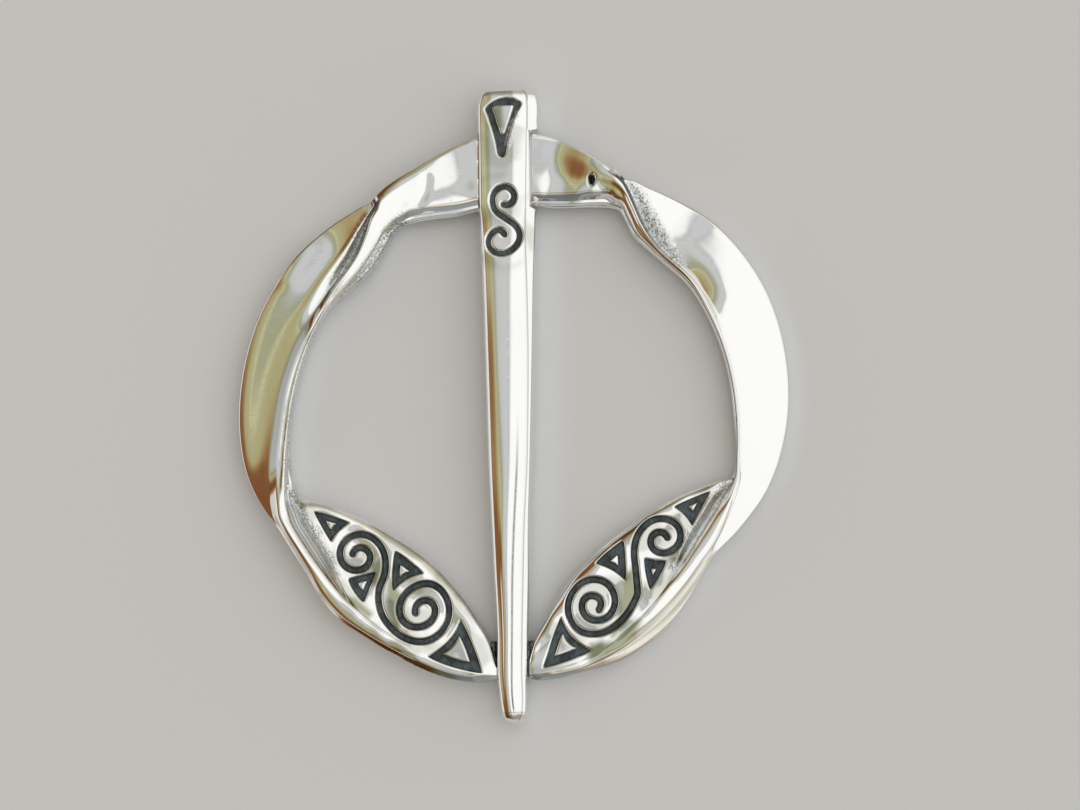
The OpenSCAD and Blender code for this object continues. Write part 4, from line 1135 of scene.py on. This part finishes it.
def sink_ornament(thing, plans, sizes, material):
    """Sinks the ornament of the plans into an object's face. The tree takes its sizes in metres."""
    modifier = thing.modifiers.new("ornament", "NODES")
    modifier.node_group = ornament_tree
    inner_sizes = {name: size * MM for name, size in sizes.items()}
    for name, value in {**plans, **inner_sizes, "Silver": material}.items():
        modifier[ornament_sockets[name]] = value
    made_plain(thing)
    for plan in plans.values():
        bpy.data.objects.remove(plan)


for side, scroll, fields, reflections, hollows, pockets, dents in (
    (LEFT, LEFT_SCROLL, LEFT_FIELDS, LEFT_REFLECTIONS, LEFT_HOLLOWS, LEFT_POCKETS, LEFT_DENTS),
    (RIGHT, RIGHT_SCROLL, RIGHT_FIELDS, RIGHT_REFLECTIONS, RIGHT_HOLLOWS, RIGHT_POCKETS, RIGHT_DENTS),
):
    triangles = [bowed_outline(corners, bows) for corners, bows, _ in fields]
    islands = [mix(outline.mean(0), outline, part) for outline, (_, _, part) in zip(triangles, fields)]
    pockets = [in_polar(rows, side) for rows in pockets]
    plans = {
        "Scroll": path_shape(scroll_path(scroll), in_ring),
        "Fields": flat_shapes(triangles + pockets, in_ring),
        "Islands": flat_shapes(islands, in_ring),
        "Hollows": flat_shapes([hollow_outline(rows, side) for rows in hollows], in_ring),
        "Tones": flat_shapes(reflections + pockets, in_ring),
        "Dents": path_shape(evened(in_polar(dents, side), *DENT_POINTS), in_ring),
    }
    sink_ornament(ring_sides[side], plans, PLATE_SIZES, ring_silver)
    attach(ring_sides[side], "ring_body")
    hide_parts("ring")


# The bridge
# A low bar of the same casting joins the two plates behind the pin. It is painted dark as the shade that
# lies between the plates and under the pin, and its middle is filed down to a seat that the pin's end rests
# in.
BRIDGE_Y = (-22.29, -19.39)
BRIDGE_SHADE = 0.85
# How far its edges are rounded at the bottom and at the top, and where the top rounding has its middle
BOTTOM_EDGE = 0.1
TOP_EDGE = 0.25
TOP_CORNER = 0.07
# Its profile from left to right. Columns: place, height
BRIDGE_PROFILE = [
    (-2.58, 1.60), (-1.74, 1.60), (-1.66, 1.56), (-1.62, 1.20), (-1.54, 1.10), (1.14, 1.10), (1.22, 1.20),
    (1.26, 1.56), (1.32, 1.60), (2.02, 1.60),
]


def bridge_section(x, z):
    """Points round the bridge at x, its top at the height z and its edges rounded."""
    lower, upper = BRIDGE_Y
    half = [
        (BOTTOM_EDGE, 0),
        (0, BOTTOM_EDGE),
        (0, z - TOP_EDGE),
        (TOP_CORNER, z - TOP_CORNER),
        (TOP_EDGE, z),
    ]
    return [(x, lower + inward, height) for inward, height in half] + [
        (x, upper - inward, height) for inward, height in half[::-1]]


bridge_loops = np.array([bridge_section(x, z) for x, z in BRIDGE_PROFILE])
bridge_faces = loft_faces(*bridge_loops.shape[:2])
bridge = mesh_object("ring_bridge", bridge_loops.reshape(-1, 3), bridge_faces, ring_silver)
# The whole bridge is painted dark as shade
darken(bridge, np.full(len(bridge.data.vertices), BRIDGE_SHADE))
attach(bridge, "ring_body")
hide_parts("ring")


# The hinge bar
# A silver rod that the pin swings on. It runs through the pin's neck, and is soldered into the ends of
# both ribbons.
HINGE_AT = (-0.28, 19.11, 1.75)
BAR_DIAMETER = 1.24
BAR_HALF_LENGTH = 3.35
BAR_RINGS = 12
BAR_SIDES = 48


def rod(name, diameter, places, sides, material=None):
    """A closed rod on the hinge's axis, with points round it at each place along it."""
    out = diameter / 2
    points = [(HINGE_AT[0] + x, HINGE_AT[1] + out * math.cos(a), HINGE_AT[2] + out * math.sin(a))
              for x in places for a in np.linspace(0, 2 * math.pi, sides, endpoint=False)]
    return mesh_object(name, points, loft_faces(len(places), sides), material)


bar_places = np.linspace(-BAR_HALF_LENGTH, BAR_HALF_LENGTH, BAR_RINGS)
hinge_bar = rod("hinge_bar", BAR_DIAMETER, bar_places, BAR_SIDES, ring_silver)
for face in hinge_bar.data.polygons:
    face.use_smooth = len(face.vertices) == 4
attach(hinge_bar, "ring_body")
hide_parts("ring")


# The pin
# Cast of the ring's silver as one long taper, domed on its face, filed to a neck between the ribbons'
# ends and bored for the hinge bar. A wedge and a double scroll are sunk into its head and blackened.
PIN_X = -0.28
# The bore through the neck, and how far the drill reaches to each side
BORE_DIAMETER = 1.36
BORE_SIDES = 64
DRILL_REACH = 6
# Columns: distance along the pin, then from its middle line the left side, the left edge of the
# face, where the left bevel ends, the crown, the face's right edge and the right side, then the
# heights of the underside, the face's left edge, the bevel's end, the crown and the right edge
PIN_ROWS = [
    (26.10, -1.05, -0.95, -0.50, 0.60, 1.20, 1.65, 0.95, 2.44, 2.51, 2.58, 2.52),
    (26.04, -1.28, -1.16, -0.62, 0.80, 1.42, 2.00, 0.78, 2.62, 2.70, 2.77, 2.70),
    (25.94, -1.48, -1.34, -0.75, 0.95, 1.58, 2.26, 0.62, 2.77, 2.86, 2.93, 2.86),
    (25.75, -1.70, -1.55, -0.90, 1.05, 1.72, 2.48, 0.45, 2.91, 3.00, 3.08, 3.01),
    (25.50, -1.85, -1.70, -1.02, 1.10, 1.82, 2.60, 0.32, 3.01, 3.11, 3.19, 3.13),
    (24.70, -2.06, -1.95, -1.22, 1.15, 1.92, 2.74, 0.15, 3.08, 3.19, 3.28, 3.22),
    (23.10, -2.06, -1.96, -1.22, 1.15, 1.92, 2.70, 0.15, 3.13, 3.23, 3.32, 3.26),
    (22.66, -2.06, -1.96, -1.22, 1.15, 1.90, 2.66, 0.15, 3.13, 3.23, 3.32, 3.26),
    (22.56, -2.06, -1.96, -1.22, 1.15, 1.89, 2.06, 0.15, 3.13, 3.23, 3.32, 3.26),
    (22.30, -2.06, -1.96, -1.22, 1.15, 1.87, 2.06, 0.15, 3.13, 3.23, 3.32, 3.26),
    (16.40, -2.06, -1.96, -1.26, 0.95, 1.74, 2.06, 0.18, 3.12, 3.22, 3.32, 3.26),
    (16.15, -2.06, -1.96, -1.26, 0.95, 1.73, 2.06, 0.18, 3.12, 3.22, 3.32, 3.26),
    (16.00, -2.06, -1.95, -1.28, 0.95, 1.71, 2.40, 0.19, 3.12, 3.22, 3.32, 3.26),
    (15.20, -2.04, -1.88, -1.28, 0.90, 1.68, 2.44, 0.22, 3.11, 3.22, 3.32, 3.26),
    (12.80, -1.95, -1.74, -1.16, 0.70, 1.67, 2.34, 0.29, 3.10, 3.20, 3.30, 3.24),
    (10.00, -1.87, -1.64, -1.04, 0.50, 1.74, 2.22, 0.36, 3.07, 3.17, 3.26, 3.20),
    (5.00, -1.76, -1.55, -0.95, 0.38, 1.80, 2.08, 0.49, 2.98, 3.10, 3.18, 3.12),
    (0.00, -1.66, -1.45, -0.86, 0.25, 1.74, 1.93, 0.62, 2.95, 3.07, 3.15, 3.08),
    (-5.00, -1.56, -1.36, -0.74, 0.10, 1.60, 1.76, 0.75, 2.91, 3.03, 3.10, 3.03),
    (-10.00, -1.38, -1.20, -0.80, -0.20, 1.30, 1.56, 0.88, 2.88, 2.975, 3.05, 2.98),
    (-14.00, -1.24, -1.06, -0.76, -0.40, 1.16, 1.50, 0.98, 2.84, 2.915, 3.00, 2.94),
    (-17.00, -1.09, -0.93, -0.65, -0.38, 1.06, 1.41, 1.08, 2.82, 2.885, 2.96, 2.90),
    (-19.00, -1.02, -0.87, -0.60, -0.36, 1.00, 1.33, 1.15, 2.80, 2.86, 2.93, 2.86),
    (-22.20, -1.03, -0.88, -0.60, -0.34, 0.94, 1.18, 1.15, 2.77, 2.825, 2.89, 2.80),
    (-24.00, -0.86, -0.72, -0.48, -0.20, 0.98, 1.18, 1.18, 2.72, 2.77, 2.83, 2.72),
    (-25.20, -0.72, -0.56, -0.36, 0.00, 0.90, 1.12, 1.26, 2.60, 2.66, 2.72, 2.60),
    (-25.55, -0.66, -0.48, -0.28, 0.05, 0.82, 1.04, 1.34, 2.48, 2.55, 2.61, 2.48),
    (-25.82, -0.54, -0.36, -0.18, 0.12, 0.70, 0.92, 1.46, 2.32, 2.39, 2.45, 2.32),
    (-26.02, -0.32, -0.16, 0.00, 0.20, 0.52, 0.72, 1.62, 2.10, 2.16, 2.22, 2.10),
    (-26.10, -0.08, 0.02, 0.12, 0.22, 0.38, 0.50, 1.76, 1.94, 1.98, 2.02, 1.94),
]
# Steps of the mesh between the section's points, and the points where the section has a corner
PIN_STEPS = [3, 3, 8, 22, 22, 20, 4, 4, 8, 4, 3, 8, 3]
PIN_CORNERS = (0, 2, 7, 11, 12)
# The sections stand closer at both ends and under the head's ornament. Columns: from, to, step
PIN_PLACES = ((-26.03, -24, 0.08), (-24, 11.2, 0.4), (11.2, 26.0, 0.065))
PIN_TIP = [-26.10, -26.07]
PIN_HEAD = [26.0, 26.04, 26.07, 26.10]
# The right side falls steeply to this depth below the face
SIDE_WALL = 0.75
# Painted shade along the neck, between the ribbons' ends: where it lies along the pin, then where on both
# its sides, and how dark it is
NECK = (15.9, 16.3, 22.3, 22.6)
NECK_CREASES = ((-1, 0, 0.9, 1.3), (8.6, 9.2, 12, 13))
NECK_DARK = 0.55
# A dark line along the face's right edge
EDGE_CREASE = (6.3, 6.9, 7.2, 7.6)
EDGE_DARK = 0.45
# A thin dark line along the face, from the tip up. Columns: distance along the pin, then the line's
# place in points along the section, or how dark it is
LINE_PLACE = [(-25.6, 5.26), (-24, 5.30), (-22, 5.40), (-14, 5.48)]
LINE_DARK = [(-25.6, 0), (-25, 0.8), (-23, 0.64), (-6, 0.6), (0, 0)]
LINE_BREADTH = 0.1
# Scroll and wedge as on the plates, from the pin's middle line
HEAD_SCROLL = [
    ((0, 17.01), [
        (-98, 0.64), (-65, 0.75), (-32, 0.80), (6, 0.83), (46, 0.83), (83, 0.87), (117, 0.89), (155, 0.94),
        (192, 1.05), (222, 1.23), (248, 1.46)]),
    ((-0.1, 13.46), [
        (62, 1.56), (36, 1.47), (11, 1.36), (-17, 1.19), (-54, 1.07), (-90, 1.13), (-124, 1.28),
        (-153, 1.36), (-178, 1.32), (-206, 1.17), (-234, 1.02), (-255, 0.80), (-278, 0.41)]),
]
# The wedge and its island: the corners, and how far each side bows out. The hollow and the painted
# reflection lie in the wedge
HEAD_FIELD = (
    [(-1.62, 24.40), (-0.55, 20.62), (-0.20, 20.28), (0.14, 20.62), (1.55, 24.78)],
    (-0.14, 0.05, 0.05, -0.24, 0.70))
HEAD_ISLAND = ([(-1.00, 24.55), (-0.26, 22.20), (0.04, 22.20), (0.86, 24.62)], (0, 0, 0, 0.05))
HEAD_HOLLOW = [(0.66, 22.9), (1.30, 24.3), (0.95, 24.3), (0.32, 22.9), (-0.10, 21.3), (0.20, 21.1)]
HEAD_REFLECTION = [(-0.95, 24.4), (-0.3, 24.5), (-0.15, 22.8), (-0.4, 22.8)]
HEAD_SIZES = {
    "Groove width": 0.50, "Wall width": 0.12, "Floor height": 3.00, "Lowest face": 2.6,
    "Roughness height": 0.02,
}


def on_pin(points):
    """Places on the pin's head, brought to where it lies, in millimetres."""
    points = np.asarray(points, float)
    return np.stack([points[:, 0] + PIN_X, points[:, 1], np.zeros(len(points))], 1)


along_pin = np.concatenate([PIN_TIP, *[np.arange(*stretch) for stretch in PIN_PLACES], PIN_HEAD])
columns = smooth_columns(PIN_ROWS[::-1], along_pin).T
_, left, face_left, bevel, crown, face_right, right, under, z_left, z_bevel, z_crown, z_right = columns
side_wall = np.minimum(0.86 * (right - face_right), SIDE_WALL)
pin_points = np.array([
    (left, mix(under, z_left, 0.25)),
    (left, z_left - 0.85 * (face_left - left)),
    (face_left, z_left),
    (bevel, z_bevel),
    (mix(bevel, crown, 0.5), mix(z_bevel, z_crown, 0.72)),
    (crown, z_crown),
    (mix(crown, face_right, 0.9), z_right - 0.001),
    (face_right, z_right),
    (mix(face_right, right, 0.25), z_right - 0.3 * side_wall),
    (right, z_right - side_wall),
    (right, mix(under, z_right, 0.3)),
    (mix(left, right, 0.95), under),
    (mix(left, right, 0.05), under),
]).transpose(2, 0, 1)
pin_loops, place = rounded(pin_points, PIN_STEPS, PIN_CORNERS)
sections, around = pin_loops.shape[:2]
y = np.repeat(along_pin[:, None], around, 1)
pin_xyz = np.stack([pin_loops[:, :, 0] + PIN_X, y, pin_loops[:, :, 1]], 2)
pin_silver = silver("pin_silver", stroke=1.5)
pin = mesh_object("swinging_pin", pin_xyz.reshape(-1, 3), loft_faces(sections, around), pin_silver)

neck_dark = crease(along_pin, NECK)[:, None] * np.maximum(*[crease(place, row) for row in NECK_CREASES])
line_place, line_dark = [np.interp(along_pin, *zip(*table))[:, None] for table in (LINE_PLACE, LINE_DARK)]
line = line_dark * np.clip(1.15 - np.abs(place - line_place) / LINE_BREADTH, 0, 1)
pin_dark = np.maximum(neck_dark * NECK_DARK, crease(place, EDGE_CREASE) * EDGE_DARK)
darken(pin, np.maximum(pin_dark, line))

plans = {
    "Scroll": path_shape(scroll_path(HEAD_SCROLL), on_pin),
    "Fields": flat_shapes([bowed_outline(*HEAD_FIELD)], on_pin),
    "Islands": flat_shapes([bowed_outline(*HEAD_ISLAND)], on_pin),
    "Hollows": flat_shapes([HEAD_HOLLOW], on_pin),
    "Tones": flat_shapes([HEAD_REFLECTION], on_pin),
}
sink_ornament(pin, plans, HEAD_SIZES, pin_silver)
drill = rod("drill", BORE_DIAMETER, (-DRILL_REACH, DRILL_REACH), BORE_SIDES)
bore = pin.modifiers.new("bore", "BOOLEAN")
bore.object = drill
bore.operation = "DIFFERENCE"
bore.solver = "EXACT"
made_plain(pin)
bpy.data.objects.remove(drill)
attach(pin, "pin_body")
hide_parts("pin")
